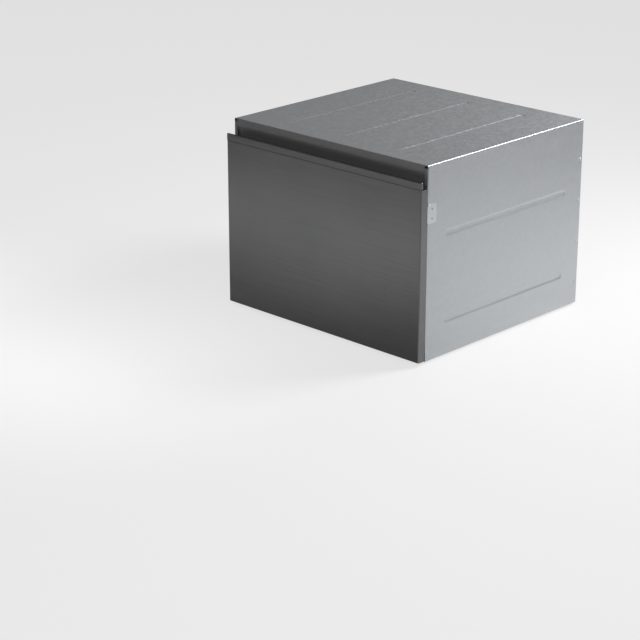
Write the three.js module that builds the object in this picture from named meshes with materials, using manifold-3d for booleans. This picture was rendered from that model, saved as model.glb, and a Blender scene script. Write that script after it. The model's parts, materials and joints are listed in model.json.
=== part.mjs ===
// A single dish drawer: a slide-out dishwasher in its steel chassis, at its real size in millimetres.
// +Z is up, the drawer slides out along -Y, and the origin is the middle of the footprint, on the floor.
// Sides are -1 for the left and +1 for the right, seen from the front.

import * as THREE from 'three';
import { mergeVertices } from 'three/addons/utils/BufferGeometryUtils.js';
import Module from 'manifold-3d';

const wasm = await Module();
wasm.setup();

// ---------------------------------------------------------------- driving sizes

const gap = 0.3; // left between pieces that touch

// The whole appliance
const overallWidth = 599;
const overallDepth = 573;
const overallHeight = 454;

// The drawer front
const frontThickness = 20;
const frontLift = 9; // from the floor up to the front's lower edge
const topReveal = 33; // from the front's top edge up to the top of the chassis
const railHeight = 16;
const railSeam = 0.8;
const lipThickness = 6;
const scoopDepth = 19;
const railRoot = 10; // the rail's foot, inside the skin
const railEdgeRadius = 1.8;
const skinSheet = 1;
const skinEdgeRadius = 2.5;
const doorGap = 3; // from the closed front to the chassis
const coreColumns = 5;
const coreRows = 3;
const coreRib = 6;
const corePocket = 6; // depth of the pockets in the core's back

// The chassis
const chassisInset = 3; // from the front's side in to the chassis side
const sheet = 1.2;
const bendRadius = 2;
const flangeWidth = 44;
const beadWidth = 18;
const beadDepth = 2;
const beadSetback = 60;
const beadPlaces = [-170, 0, 170]; // across the top
const sideBeadPlaces = [88, 290]; // above the floor
const rearFlange = 14;
const louvreRows = 6;
const louvrePitch = 14;
const louvreWidth = 80;
const louvreHeight = 5;
const louvreOffset = 150; // from the middle to each group's centre
const louvreDrop = 154; // from the chassis top down to the lowest louvre
const footHeight = 5;
const footRadius = 15;
const footStemRadius = 4;
const footBarb = 2.2;
const footInset = 24; // from the chassis side to the foot's axis
const footSetback = 45; // from the chassis front and back to the foot's axis
const trayHeight = 20;
const trayWall = 2.5;
const trayRibHeight = 6;
const trayRibPlaces = [-210, -70, 70, 210];
const trayRibThickness = 2;
const crossbeamHeight = 12;
const crossbeamDepth = 16;
const trimWidth = 14;
const trimPlate = 2.5;
const trimDepth = 14;
const fasciaHeight = 48.5;
const fasciaBand = 7; // the flat band that covers the chassis edge
const fasciaScoop = 8;
const fasciaWall = 2.5;
const fasciaStep = 0.4; // from the band back to the scoop's face
const fasciaLip = 11;
const fasciaRise = 16; // how far the scoop's curve starts straight down
const fasciaSettle = 20; // and how far it ends straight

// The connections at the back
const serviceWidth = 280;
const serviceHeight = 66;
const serviceBottom = 42;
const serviceDepth = 34;
const serviceWall = 2;
const serviceFlange = 12;
const inletRadius = 13.2; // a 3/4 inch hose thread
const inletBore = 9;
const drainRadius = 9.5;
const drainBore = 7.5;
const glandRadius = 11;
const glandBore = 4.2;
const connectionPitch = 85;
const spigotLength = 22;
const spigotShoulder = 3;
const spigotBack = 8; // behind the pocket's floor
const valveShoulder = 3.5;
const valveCoilRadius = 8;
const valveCoilLength = 34;
const valveBridge = 14;
const glandNutFlats = 40;
const glandNutDepth = 3.5;

// The runners
const slideHeight = 45;
const slideSheet = 1.2;
const slideCentre = 158; // above the floor
const slideSetback = 16; // from the chassis front
const slideRearSetback = 34; // from the back
const slideDepth = 13.6;
const slideLip = 3.4;
const slidePlay = 0.3;
const slideNest = 1.8; // how much shorter each inner member's lips are

// The tub
const runnerSpace = 26.5; // from the tub's side out to the chassis side
const rearClearance = 48.5; // from the tub's rim to the back
const tubLift = 88; // from the floor up to the tub
const tubWall = 3;
const tubDraft = 14; // how far the side leans in from the rim to the floor
const tubCornerRadius = 52;
const tubFloorRadius = 14;
const rimWidth = 8;
const rimThickness = 7;
const controlClearance = 3.5; // under the fascia
const rimDrop = 4; // from the control strip's top down to the tub's rim
const ledgeHeight = 5;
const ledgeSetback = 70; // from the tub's front and back to the ledge's ends
const wellDrainRadius = 6;
const padLength = 18;
const padWidth = 14;
const padInset = 18; // from the rack's bend

// The lid
const lidTravel = 6;
const lidThickness = 14;
const lidFloor = 3;
const lidColumns = 4;
const lidRows = 3;
const lidRib = 3;
const lidBorder = 16;
const sealThickness = 5;
const sealWidth = 12;
const lidSetback = 1.5;
const yokeWidth = 24;
const yokePost = 3;
const yokeHeight = 24;
const actuatorLength = 60;
const actuatorDepth = 14;
const actuatorMotorRadius = 10;
const actuatorMotorLength = 42;

// The wash system
const motorRadius = 54;
const motorFlangeRadius = 70;
const motorNeckRadius = 48;
const neckSides = 20; // of the motor's neck and the hole that it seals in
const motorBottom = 42;
const spindleRadius = 8;
const hubRadius = 20;
const heaterWidth = 22;
const heaterThickness = 3;
const filterRadius = 152;
const filterSheet = 2;
const filterSlots = 16;
const filterSlotLength = 46;
const filterSlotWidth = 3;
const filterSlotInset = 19; // from the plate's edge
const basketRadius = 27;
const basketOffset = 112;
const basketDepth = 25;
const armReach = 36; // from the arm's tip out to the tub's rim
const armThickness = 12;
const armEdge = 2.5; // the height of its chamfers
const armRootWidth = 30;
const armTipWidth = 17;
const armSweep = 26;
const armClearance = 6; // above the filter basket's handle
const jetCount = 6;

// The dish rack
const wire = 4;
const rackLift = 38; // from the tub's floor up to the lowest wires
const rackDrop = 110; // from the tub's rim down to the top wire
const rackClearance = 35; // from the tub's side, at the rim, to the rack's floor
const rackEndClearance = 36; // the same at the front and back
const rackFlare = 10;
const rackBend = 22;
const rackCornerRadius = 46;
const crossWires = 6;
const longWires = 4;
const crossWireInset = 45; // from the rack's front and back to the first wire
const longWireInset = 49;
const tineRows = 3;
const tinePitch = 78;
const tineInset = 47; // from the rack's left side to the first row
const tineLength = 66;
const tineWire = 3.4;
const tinesPerRow = 10;
const clipWidth = 10;
const clipThickness = 6;
const clipHeight = 13;
const cupRackDepth = 92;
const cupRackInset = 50; // from the rack's front and back
const cupRackLip = 12;
const cupRackWall = 1.5;
const cupRackFrame = 9; // the border round the slots
const cupRackBar = 6; // between two slots
const cupRackEnd = 8;
const cupRackThickness = 4;
const cupRackSlots = 6;
const sleeveRadius = 5.5;
const sleeveLength = 28;

// The cutlery basket
const cutleryWidth = 62;
const cutleryInset = 65; // from the rack's front and back
const cutleryClearance = 17.5; // from the handle up to the cup rack
const cutleryWall = 2;
const cutleryCells = 3;
const cutlerySlots = 6;
const cutleryOffset = 49; // from the rack's right side to the basket's middle
const cutleryBand = 14; // plain wall over and under the slots
const cutleryFloorSlot = 6;
const handleWall = 3;
const handleGrip = 8;
const handleRise = 16;

// The dispenser
const dispenserWidth = 160;
const dispenserHeight = 72;
const dispenserDepth = 27;
const dispenserDrop = 18; // from the tub's rim to the dispenser's top
const cupWidth = 80;
const cupHeight = 44;
const cupDepth = 20;
const cupOffset = -32;
const flapThickness = 3;
const flapOverlap = 4;
const knuckleRadius = 2.5;
const rinseRadius = 14;
const rinseOffset = 50;
const rinseDepth = 9;

// The controls
const controlInset = 39.5; // from the front's sides
const controlDepth = 23.9;
const controlHeight = 17;
const buttonWidth = 18;
const buttonDepth = 10;
const buttonPitch = 30;
const buttonHeight = 6;
const buttonProud = 0.8;
const buttonSpring = 2; // room left under the button
const firstButton = -150;
const displayWidth = 74;
const displayDepth = 12;
const displayThickness = 1.6;
const displayOffset = 20;

// Brackets
const bracketSheet = 1.2;
const bracketHeight = 44;
const bracketLength = 30;
const bracketDrop = 109; // from the chassis top to the bracket's middle
const bracketScrewRadius = 2.25;
const sideRailSheet = 1.2;
const sideRailHeight = 62;
const sideRailPlay = 1; // from the rail's flange to the tub's side
const frontTab = 42;
const railSlots = 3;
const railSlotLength = 28;
const railSlotHeight = 14;
const railBackset = 10; // from the tub's back

// The power module
const moduleWidth = 96;
const moduleDepth = 58;
const moduleHeight = 42;
const moduleFins = 7;
const moduleFinDepth = 5;
const moduleInset = 8; // from the chassis side

// ---------------------------------------------------------------- places worked out from the sizes

const frontFace = -overallDepth / 2;
const backFace = overallDepth / 2;
const doorBack = frontFace + frontThickness;
const chassisFront = doorBack + doorGap;
const frontTop = overallHeight - topReveal;
const frontBottom = frontLift;
const stripBottom = frontTop - railHeight;
const skinTop = stripBottom - railSeam;
const scoopFloor = frontTop - scoopDepth;
const railBottom = scoopFloor - railRoot;

const chassisSide = overallWidth / 2 - chassisInset;
const chassisInner = chassisSide - sheet;
const wrapperFront = chassisFront + trimPlate + gap;
const chassisCeiling = overallHeight - sheet;
const trayBottom = footHeight + sheet + gap;
const trayTop = trayBottom + trayHeight;
const trayFloor = trayBottom + trayWall;
const crossbeamBottom = trayTop + gap;
const crossbeamTop = crossbeamBottom + crossbeamHeight;
const fasciaBottom = overallHeight - fasciaHeight;
const trimInner = chassisSide - trimWidth;
const footX = chassisSide - footInset;
const footFront = wrapperFront + footSetback;
const footBack = backFace - footSetback;

const slideFront = chassisFront + slideSetback;
const slideBack = backFace - slideRearSetback;
const slideWall = chassisInner - gap; // the outer member's back face
const sideRailFace = slideWall - slideDepth - gap;

const controlTop = fasciaBottom - controlClearance;
const rimTop = controlTop - rimDrop;
const tubBottom = tubLift;
const tubHeight = rimTop - tubBottom;
const tubWidth = 2 * (chassisSide - runnerSpace);
const tubFloorTop = tubBottom + tubWall;
const rimFront = doorBack + gap + controlDepth + gap;
const rimBack = backFace - rearClearance;
const rimHalfWidth = tubWidth / 2 + rimWidth;
const rimHalfDepth = (rimBack - rimFront) / 2;
const tubY = (rimFront + rimBack) / 2;
const tubDepth = 2 * rimHalfDepth - rimWidth;
const sideRailTop = slideCentre + sideRailHeight / 2;
const sideRailBottom = slideCentre - sideRailHeight / 2;

const sealBottom = rimTop + lidTravel + gap;
const sealTop = sealBottom + sealThickness;
const lidBottom = sealTop + gap;
const lidTop = lidBottom + lidThickness;

const heaterBottom = tubFloorTop + gap;
const filterBottom = heaterBottom + heaterThickness + gap;
const filterTop = filterBottom + filterSheet;
const armBottom = filterTop + armClearance;
const armTop = armBottom + armThickness;
const armRadius = Math.min(tubWidth, tubDepth) / 2 - armReach;

const rackFloor = tubFloorTop + rackLift;
const rackTop = rimTop - rackDrop;
const rackWidth = tubWidth - 2 * rackClearance;
const rackDepth = tubDepth - 2 * rackEndClearance;
const crossWirePitch = (rackDepth - 2 * crossWireInset) / (crossWires - 1);
const longWirePitch = (rackWidth - 2 * longWireInset) / (longWires - 1);
const wireRadius = wire / 2;
const longWireHeight = rackFloor + wire * 0.8;
const rackFloorTop = longWireHeight + wireRadius;
const tineRadius = tineWire / 2;
const spineHeight = rackFloorTop + gap + tineRadius;
const tineFirst = tineInset - rackWidth / 2;
const tineSpacing = crossWirePitch / 2; // so that every other tine stands over a wire

const cupRackLength = rackDepth - 2 * cupRackInset;
const cutleryLength = rackDepth - 2 * cutleryInset;
const cutleryPosition = rackWidth / 2 - cutleryOffset;
const cutleryBottom = rackFloorTop + gap;
const cutleryTop = rackTop - cupRackThickness / 2 - cutleryClearance - handleRise;

const louvreBottom = overallHeight - louvreDrop;
const bracketCentre = overallHeight - bracketDrop;
const controlWidth = overallWidth - 2 * controlInset;

// ---------------------------------------------------------------- tools of the trade

const v = (x, y, z) => new THREE.Vector3(x, y, z);

// A closed geometry as a solid that can be joined and cut.
function solid(geometry) {
  const bare = new THREE.BufferGeometry();
  bare.setAttribute('position', geometry.getAttribute('position'));
  bare.setIndex(geometry.getIndex());
  const merged = mergeVertices(bare, 1e-4);
  const faces = [];
  const index = merged.getIndex().array;
  for (let i = 0; i < index.length; i += 3) {
    const [a, b, c] = [index[i], index[i + 1], index[i + 2]];
    if (a !== b && b !== c && c !== a) faces.push(a, b, c);
  }
  return new wasm.Manifold(new wasm.Mesh({
    numProp: 3,
    vertProperties: new Float32Array(merged.getAttribute('position').array),
    triVerts: new Uint32Array(faces),
  }));
}

function geometryOf(body) {
  const mesh = body.getMesh();
  const geometry = new THREE.BufferGeometry();
  geometry.setAttribute('position', new THREE.BufferAttribute(new Float32Array(mesh.vertProperties), 3));
  geometry.setIndex(new THREE.BufferAttribute(new Uint32Array(mesh.triVerts), 1));
  const flat = geometry.toNonIndexed();
  flat.computeVertexNormals();
  return flat;
}

const joined = (bodies) => bodies.reduce((all, body) => all.add(body));
const cut = (body, tools) => tools.reduce((rest, tool) => rest.subtract(tool), body);

// A block between two corners.
function block(x0, x1, y0, y1, z0, z1) {
  const box = new THREE.BoxGeometry(x1 - x0, y1 - y0, z1 - z0);
  return solid(box.translate((x0 + x1) / 2, (y0 + y1) / 2, (z0 + z1) / 2));
}

// A block mirrored about the middle plane for the left side, given by its sizes on the right.
function sideBlock(side, x0, x1, y0, y1, z0, z1) {
  return side > 0 ? block(x0, x1, y0, y1, z0, z1) : block(-x1, -x0, y0, y1, z0, z1);
}

function extruded(shape, depth, curveSegments = 4) {
  return new THREE.ExtrudeGeometry(shape, { depth, curveSegments, bevelEnabled: false });
}

// A shape drawn in X and Y, between two heights.
function extrudeZ(shape, z0, z1, curveSegments) {
  return solid(extruded(shape, z1 - z0, curveSegments).translate(0, 0, z0));
}

// A shape drawn in X and Z, from y0 back to y1.
function extrudeY(shape, y0, y1, curveSegments) {
  return solid(extruded(shape, y1 - y0, curveSegments).rotateX(Math.PI / 2).translate(0, y1, 0));
}

// A shape drawn in Y and Z, from x0 to x1.
function extrudeX(shape, x0, x1, curveSegments) {
  const turn = new THREE.Matrix4().makeBasis(v(0, 1, 0), v(0, 0, 1), v(1, 0, 0));
  return solid(extruded(shape, x1 - x0, curveSegments).applyMatrix4(turn).translate(x0, 0, 0));
}

function polygon(points) {
  return new THREE.Shape(points.map(([x, y]) => new THREE.Vector2(x, y)));
}

// A rectangle with its corners cut off at 45 degrees.
function chamferedRectangle(x0, x1, y0, y1, chamfer) {
  return polygon([
    [x0 + chamfer, y0], [x1 - chamfer, y0], [x1, y0 + chamfer], [x1, y1 - chamfer],
    [x1 - chamfer, y1], [x0 + chamfer, y1], [x0, y1 - chamfer], [x0, y0 + chamfer],
  ]);
}

function roundedRectangle(x0, x1, y0, y1, radius) {
  const shape = new THREE.Shape();
  shape.absarc(x1 - radius, y0 + radius, radius, -Math.PI / 2, 0);
  shape.absarc(x1 - radius, y1 - radius, radius, 0, Math.PI / 2);
  shape.absarc(x0 + radius, y1 - radius, radius, Math.PI / 2, Math.PI);
  shape.absarc(x0 + radius, y0 + radius, radius, Math.PI, Math.PI * 1.5);
  return shape;
}

// Cylinders about Z, Y and X.
function cylinder(radius, x, y, z0, z1, sides = 18) {
  const round = new THREE.CylinderGeometry(radius, radius, z1 - z0, sides).rotateX(Math.PI / 2);
  return solid(round.translate(x, y, (z0 + z1) / 2));
}

function cylinderY(radius, x, z, y0, y1, sides = 12) {
  return solid(new THREE.CylinderGeometry(radius, radius, y1 - y0, sides).translate(x, (y0 + y1) / 2, z));
}

function cylinderX(radius, y, z, x0, x1, sides = 12) {
  const round = new THREE.CylinderGeometry(radius, radius, x1 - x0, sides).rotateZ(Math.PI / 2);
  return solid(round.translate((x0 + x1) / 2, y, z));
}

// A profile of [radius, height] pairs, listed upwards on the outside, turned about Z.
function turned(profile, x = 0, y = 0, sides = 16) {
  const points = profile.map(([radius, height]) => new THREE.Vector2(radius, height));
  return solid(new THREE.LatheGeometry(points, sides).rotateX(Math.PI / 2).translate(x, y, 0));
}

// The same profile turned about a line along +Y; heights become distances along Y.
function turnedAlongY(profile, x, z, sides = 12) {
  const points = profile.map(([radius, height]) => new THREE.Vector2(radius, height));
  return solid(new THREE.LatheGeometry(points, sides).translate(x, 0, z));
}

// The outline of a folded sheet: the middle line's corners, the sheet's thickness and the bend's middle radius.
function foldedSheet(corners, thickness, bend) {
  const line = corners.map(([x, y]) => new THREE.Vector2(x, y));
  const left = [];
  const right = [];
  const put = (point, direction, offset = thickness / 2) => {
    const normal = new THREE.Vector2(-direction.y, direction.x);
    left.push(point.clone().addScaledVector(normal, offset));
    right.push(point.clone().addScaledVector(normal, -offset));
  };
  const heading = (i) => line[i + 1].clone().sub(line[i]).normalize();
  put(line[0], heading(0));
  for (let i = 1; i < line.length - 1; i++) {
    const before = heading(i - 1);
    const after = heading(i);
    const turn = Math.atan2(before.cross(after), before.dot(after));
    const trim = bend * Math.tan(Math.abs(turn) / 2);
    const start = line[i].clone().addScaledVector(before, -trim);
    const inwards = new THREE.Vector2(-before.y, before.x).multiplyScalar(bend * Math.sign(turn));
    const centre = start.clone().add(inwards);
    const steps = Math.abs(turn) < 0.5 ? 1 : 3;
    for (let k = 0; k <= steps; k++) {
      const point = start.clone().rotateAround(centre, (turn * k) / steps);
      put(point, before.clone().rotateAround(new THREE.Vector2(), (turn * k) / steps));
    }
  }
  put(line[line.length - 1], heading(line.length - 2));
  return new THREE.Shape([...left, ...right.reverse()]);
}

// A wire's middle line through a list of points, with one ring of the wire's section at each point.
class WirePath extends THREE.Curve {
  constructor(points) {
    super();
    this.points = points;
  }

  getPoint(t, target = new THREE.Vector3()) {
    const place = t * (this.points.length - 1);
    const first = Math.min(Math.floor(place), this.points.length - 2);
    return target.lerpVectors(this.points[first], this.points[first + 1], place - first);
  }

  getPointAt(t, target) {
    return this.getPoint(t, target);
  }

  getTangentAt(t, target) {
    return this.getTangent(t, target);
  }
}

// A round wire through corners, each bent to the given radius.
function bentWire(corners, radius, bend, sides = 4, bendSteps = 2) {
  const points = [corners[0]];
  for (let i = 1; i < corners.length - 1; i++) {
    const into = corners[i - 1].clone().sub(corners[i]).setLength(bend).add(corners[i]);
    const away = corners[i + 1].clone().sub(corners[i]).setLength(bend).add(corners[i]);
    points.push(...new THREE.QuadraticBezierCurve3(into, corners[i], away).getPoints(bendSteps));
  }
  points.push(corners[corners.length - 1]);
  const section = new THREE.Shape();
  for (let k = 0; k < sides; k++) {
    const angle = (k / sides) * Math.PI * 2;
    const place = [Math.cos(angle) * radius, Math.sin(angle) * radius];
    if (k === 0) section.moveTo(...place);
    else section.lineTo(...place);
  }
  const settings = { steps: points.length - 1, extrudePath: new WirePath(points), bevelEnabled: false };
  return solid(new THREE.ExtrudeGeometry(section, settings));
}

// A closed body through a stack of rounded-rectangle rings, with a flat face at each end.
function loft(rings, x, y) {
  const cornerSteps = 4;
  const positions = [];
  const index = [];
  const count = 4 * (cornerSteps + 1);
  for (const { width, depth, radius, z } of rings) {
    for (let corner = 0; corner < 4; corner++) {
      const cx = (corner === 0 || corner === 3 ? 1 : -1) * (width - radius);
      const cy = (corner < 2 ? 1 : -1) * (depth - radius);
      for (let k = 0; k <= cornerSteps; k++) {
        const angle = (corner + k / cornerSteps) * (Math.PI / 2);
        positions.push(x + cx + Math.cos(angle) * radius, y + cy + Math.sin(angle) * radius, z);
      }
    }
  }
  for (let ring = 0; ring < rings.length - 1; ring++) {
    for (let k = 0; k < count; k++) {
      const a = ring * count + k;
      const b = ring * count + ((k + 1) % count);
      index.push(a, b, b + count, a, b + count, a + count);
    }
  }
  const last = (rings.length - 1) * count;
  for (let k = 1; k < count - 1; k++) {
    index.push(0, k + 1, k);
    index.push(last, last + k, last + k + 1);
  }
  const geometry = new THREE.BufferGeometry();
  geometry.setAttribute('position', new THREE.Float32BufferAttribute(positions, 3));
  geometry.setIndex(index);
  return solid(geometry);
}

// ---------------------------------------------------------------- chassis

function wrapper() {
  const side = chassisSide - sheet / 2;
  const top = overallHeight - sheet / 2;
  const bottom = footHeight + sheet / 2;
  const edge = chassisSide - flangeWidth;
  const outline = foldedSheet(
    [[-edge, bottom], [-side, bottom], [-side, top], [side, top], [side, bottom], [edge, bottom]],
    sheet,
    bendRadius,
  );
  const body = extrudeY(outline, wrapperFront, backFace);
  const ridges = [];
  const grooves = [];
  const start = wrapperFront + beadSetback;
  const end = backFace - beadSetback;
  const half = beadWidth / 2;
  const wide = (low, high) => chamferedRectangle(low, high, start, end, half * 0.7);
  const narrow = (low, high) => chamferedRectangle(low + 2, high - 2, start + 2, end - 2, half * 0.6);
  for (const x of beadPlaces) {
    const [low, high] = [x - half, x + half];
    ridges.push(extrudeZ(wide(low, high), chassisCeiling - beadDepth, chassisCeiling + sheet / 2));
    grooves.push(extrudeZ(narrow(low, high), overallHeight - beadDepth, overallHeight + 1));
  }
  for (const height of sideBeadPlaces) {
    for (const side of [-1, 1]) {
      const turn = (shape, inner, outer) => {
        const flat = extruded(shape, outer - inner).applyMatrix4(
          new THREE.Matrix4().makeBasis(v(0, 0, side), v(0, 1, 0), v(-side, 0, 0)),
        );
        return solid(flat.translate(side * outer, 0, 0));
      };
      const [low, high] = [height - half, height + half].map((z) => z * side).sort((m, n) => m - n);
      ridges.push(turn(wide(low, high), chassisInner - beadDepth, chassisInner + sheet / 2));
      grooves.push(turn(narrow(low, high), chassisSide - beadDepth, chassisSide + 1));
    }
  }
  for (const [x, y] of footPlaces()) grooves.push(cylinder(footStemRadius + gap, x, y, 0, trayBottom, 12));
  return cut(joined([body, ...ridges]), grooves);
}

function footPlaces() {
  return [[-footX, footFront], [footX, footFront], [-footX, footBack], [footX, footBack]];
}

function foot(x, y) {
  const head = trayFloor + gap;
  return turned([
    [0, 0],
    [footRadius - 1.5, 0],
    [footRadius, 1.5],
    [footRadius, footHeight - gap],
    [footStemRadius, footHeight - gap],
    [footStemRadius, head],
    [footStemRadius + footBarb, head],
    [footStemRadius - 1, head + 5],
    [0, head + 5],
  ], x, y, 9);
}

function baseTray() {
  const outer = chassisInner - bendRadius;
  const inner = outer - trayWall;
  const back = backFace - gap;
  const outline = roundedRectangle(-outer, outer, wrapperFront, back, 6);
  const hollow = roundedRectangle(-inner, inner, wrapperFront + trayWall, back - trayWall, 4);
  const pan = extrudeZ(outline, trayBottom, trayTop, 3).subtract(extrudeZ(hollow, trayFloor, trayTop + 1, 3));
  const half = trayRibThickness / 2;
  const ribs = trayRibPlaces.map((x) => (
    block(x - half, x + half, wrapperFront + 1, back - 1, trayBottom + 1, trayFloor + trayRibHeight)
  ));
  const holes = footPlaces().map(([x, y]) => cylinder(footStemRadius + gap, x, y, 0, trayFloor + 1, 12));
  return cut(joined([pan, ...ribs]), holes);
}

function frontCrossbeam() {
  const half = chassisInner - gap;
  const front = wrapperFront + sheet / 2;
  const low = crossbeamBottom + sheet / 2;
  const high = crossbeamTop - sheet / 2;
  const back = wrapperFront + crossbeamDepth;
  const outline = foldedSheet([[back, low], [front, low], [front, high], [back, high]], sheet, 1.2);
  return extrudeX(outline, -half, half);
}

// The dark band over the drawer front: a frame that covers the chassis edge, and a scoop that leans back.
function frontFascia() {
  const half = chassisInner - gap;
  const band = fasciaBand;
  const high = overallHeight - band;
  const plateBack = chassisFront + trimPlate;
  const plate = block(-chassisSide, chassisSide, chassisFront, plateBack, fasciaBottom, overallHeight);
  const window = block(-half + band, half - band, chassisFront - 1, wrapperFront, fasciaBottom - 1, high);
  const low = fasciaBottom + fasciaWall / 2;
  const deep = chassisFront + fasciaScoop;
  const start = chassisFront + fasciaWall / 2 + fasciaStep;
  const curve = new THREE.CubicBezierCurve(
    new THREE.Vector2(start, high),
    new THREE.Vector2(start, high - fasciaRise),
    new THREE.Vector2(deep, low + fasciaSettle),
    new THREE.Vector2(deep, low),
  );
  const points = curve.getPoints(5).map((p) => [p.x, p.y]);
  const line = [[start, high + 3], ...points, [deep + fasciaLip, low]];
  const scoop = extrudeX(foldedSheet(line, fasciaWall, 0.3), -half, half);
  return joined([plate.subtract(window), scoop]);
}

function sideTrim(side) {
  const low = crossbeamTop + gap;
  const high = fasciaBottom - gap;
  const leg = chassisInner - gap;
  const plate = sideBlock(side, trimInner, chassisSide, chassisFront, chassisFront + trimPlate, low, high);
  const inner = sideBlock(side, leg - trimPlate, leg, chassisFront, chassisFront + trimDepth, low, high);
  const half = slideHeight / 2 + 2;
  const passage = sideBlock(side, trimInner - 1, leg + gap / 2, chassisFront - 1, chassisFront + trimDepth + 1,
    slideCentre - half, slideCentre + half);
  return joined([plate, inner]).subtract(passage);
}

function rearPanel() {
  const half = chassisInner - gap;
  const low = trayTop + gap;
  const high = chassisCeiling - gap;
  const front = backFace - rearFlange;
  const outer = extrudeY(roundedRectangle(-half, half, low, high, bendRadius), front, backFace, 2);
  const inner = block(-half + sheet, half - sheet, front - 1, backFace - sheet, low + sheet, high - sheet);
  const window = block(-serviceWidth / 2, serviceWidth / 2, backFace - sheet - 1, backFace + 1,
    serviceBottom, serviceBottom + serviceHeight);
  const louvres = [];
  for (const x of [-louvreOffset, louvreOffset]) {
    for (let row = 0; row < louvreRows; row++) {
      const z = louvreBottom + row * louvrePitch;
      louvres.push(block(x - louvreWidth / 2, x + louvreWidth / 2, backFace - sheet - 1, backFace + 1,
        z, z + louvreHeight));
    }
  }
  return cut(outer.subtract(inner), [window, ...louvres]);
}

const connections = { inlet: -connectionPitch, drain: 0, gland: connectionPitch };
const connectionHeight = serviceBottom + serviceHeight / 2;
const serviceFace = backFace - sheet - gap; // the flange's face, against the rear panel
const serviceFloor = serviceFace - serviceDepth;

// The pocket in the back that the hoses and the mains lead plug into.
function servicePocket() {
  const half = serviceWidth / 2 - gap;
  const low = serviceBottom + gap;
  const high = serviceBottom + serviceHeight - gap;
  const flange = block(-half - serviceFlange, half + serviceFlange, serviceFace - serviceWall, serviceFace,
    low - serviceFlange, high + serviceFlange);
  const outline = roundedRectangle(-half, half, low, high, 8);
  const pocket = extrudeY(outline, serviceFloor - serviceWall, serviceFace, 3);
  const [wall, inner] = [serviceWall, half - serviceWall];
  const hollow = extrudeY(roundedRectangle(-inner, inner, low + wall, high - wall, 6), serviceFloor,
    serviceFace + 1, 3);
  const holes = [
    cylinderY(inletRadius + gap, connections.inlet, connectionHeight, serviceFloor - 5, serviceFace),
    cylinderY(drainRadius + gap, connections.drain, connectionHeight, serviceFloor - 5, serviceFace),
    cylinderY(glandRadius + gap, connections.gland, connectionHeight, serviceFloor - 5, serviceFace),
  ];
  return cut(joined([flange, pocket]), [hollow, ...holes]);
}

// A spigot that comes through the pocket's floor, with a shoulder outside and a nut face inside.
function spigot(x, radius, bore, shoulder, ridges) {
  const inside = serviceFloor - serviceWall - gap;
  const outside = serviceFloor + gap;
  const end = serviceFloor + spigotLength;
  const profile = [
    [bore, inside - spigotBack],
    [radius + shoulder, inside - spigotBack],
    [radius + shoulder, inside],
    [radius, inside],
    [radius, outside],
    [radius + shoulder, outside],
    [radius + shoulder, outside + spigotShoulder],
  ];
  const start = outside + spigotShoulder + 1;
  const pitch = (end - start - 1) / ridges;
  for (let k = 0; k < ridges; k++) {
    const y = start + k * pitch;
    profile.push([radius - 1, y], [radius, y + pitch / 2]);
  }
  profile.push([radius - 1, end], [bore, end], [bore, inside - spigotBack]);
  return turnedAlongY(profile, x, connectionHeight);
}

function inletValve() {
  const inside = serviceFloor - serviceWall - gap;
  const side = connections.inlet + inletRadius;
  const axis = inside - valveCoilRadius;
  const half = valveBridge / 2;
  const shell = spigot(connections.inlet, inletRadius, inletBore, valveShoulder, 4);
  const coil = cylinderX(valveCoilRadius, axis, connectionHeight, side, side + valveCoilLength, 10);
  const bridge = block(side - gap * 6, side + valveBridge, axis - half / 2, axis + half,
    connectionHeight - half, connectionHeight + half);
  return joined([shell, coil, bridge]);
}

function mainsGland() {
  const profile = spigot(connections.gland, glandRadius, glandBore, spigotShoulder, 2);
  const flats = [];
  const [low, high] = [connectionHeight - glandNutFlats / 2, connectionHeight + glandNutFlats / 2];
  const depth = serviceFloor + glandNutDepth;
  for (const side of [-1, 1]) {
    const near = connections.gland + side * (glandRadius + spigotShoulder / 2);
    const far = near + side * spigotShoulder;
    flats.push(block(Math.min(near, far), Math.max(near, far), serviceFloor, depth, low, high));
  }
  return cut(profile, flats);
}

// ---------------------------------------------------------------- runners

// A runner member's outline. Each corner is [distance from the chassis wall, height from the slide's centre].
function runnerMember(side, corners) {
  const placed = corners.map(([inward, height]) => [side * (slideWall - inward), slideCentre + height]);
  return extrudeY(foldedSheet(placed, slideSheet, 0.8), slideFront, slideBack);
}

const halfSheet = slideSheet / 2;
const outerTop = slideHeight / 2 - halfSheet;
const middleTop = outerTop - slideSheet - slidePlay;
const innerTop = middleTop - slideSheet - slidePlay;

function runnerOuter(side) {
  const mouth = slideDepth - halfSheet - gap - slideLip / 2;
  return runnerMember(side, [
    [mouth, outerTop - slideLip],
    [mouth, outerTop],
    [halfSheet, outerTop],
    [halfSheet, -outerTop],
    [mouth, -outerTop],
    [mouth, -outerTop + slideLip],
  ]);
}

function runnerMiddle(side) {
  const mouth = slideDepth - halfSheet - gap - slideLip / 2 - slideNest;
  const web = halfSheet + slideSheet + slidePlay;
  return runnerMember(side, [
    [mouth, middleTop - slideLip],
    [mouth, middleTop],
    [web, middleTop],
    [web, -middleTop],
    [mouth, -middleTop],
    [mouth, -middleTop + slideLip],
  ]);
}

function runnerInner(side) {
  const web = halfSheet + 2 * (slideSheet + slidePlay);
  const tip = slideDepth - halfSheet - gap - slideLip / 2 - 2 * slideNest;
  const crown = slideDepth - halfSheet;
  const neck = innerTop - slideLip - 1.5;
  return runnerMember(side, [
    [tip, innerTop],
    [web, innerTop],
    [web, neck],
    [crown, neck],
    [crown, -neck],
    [web, -neck],
    [web, -innerTop],
    [tip, -innerTop],
  ]);
}

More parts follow.
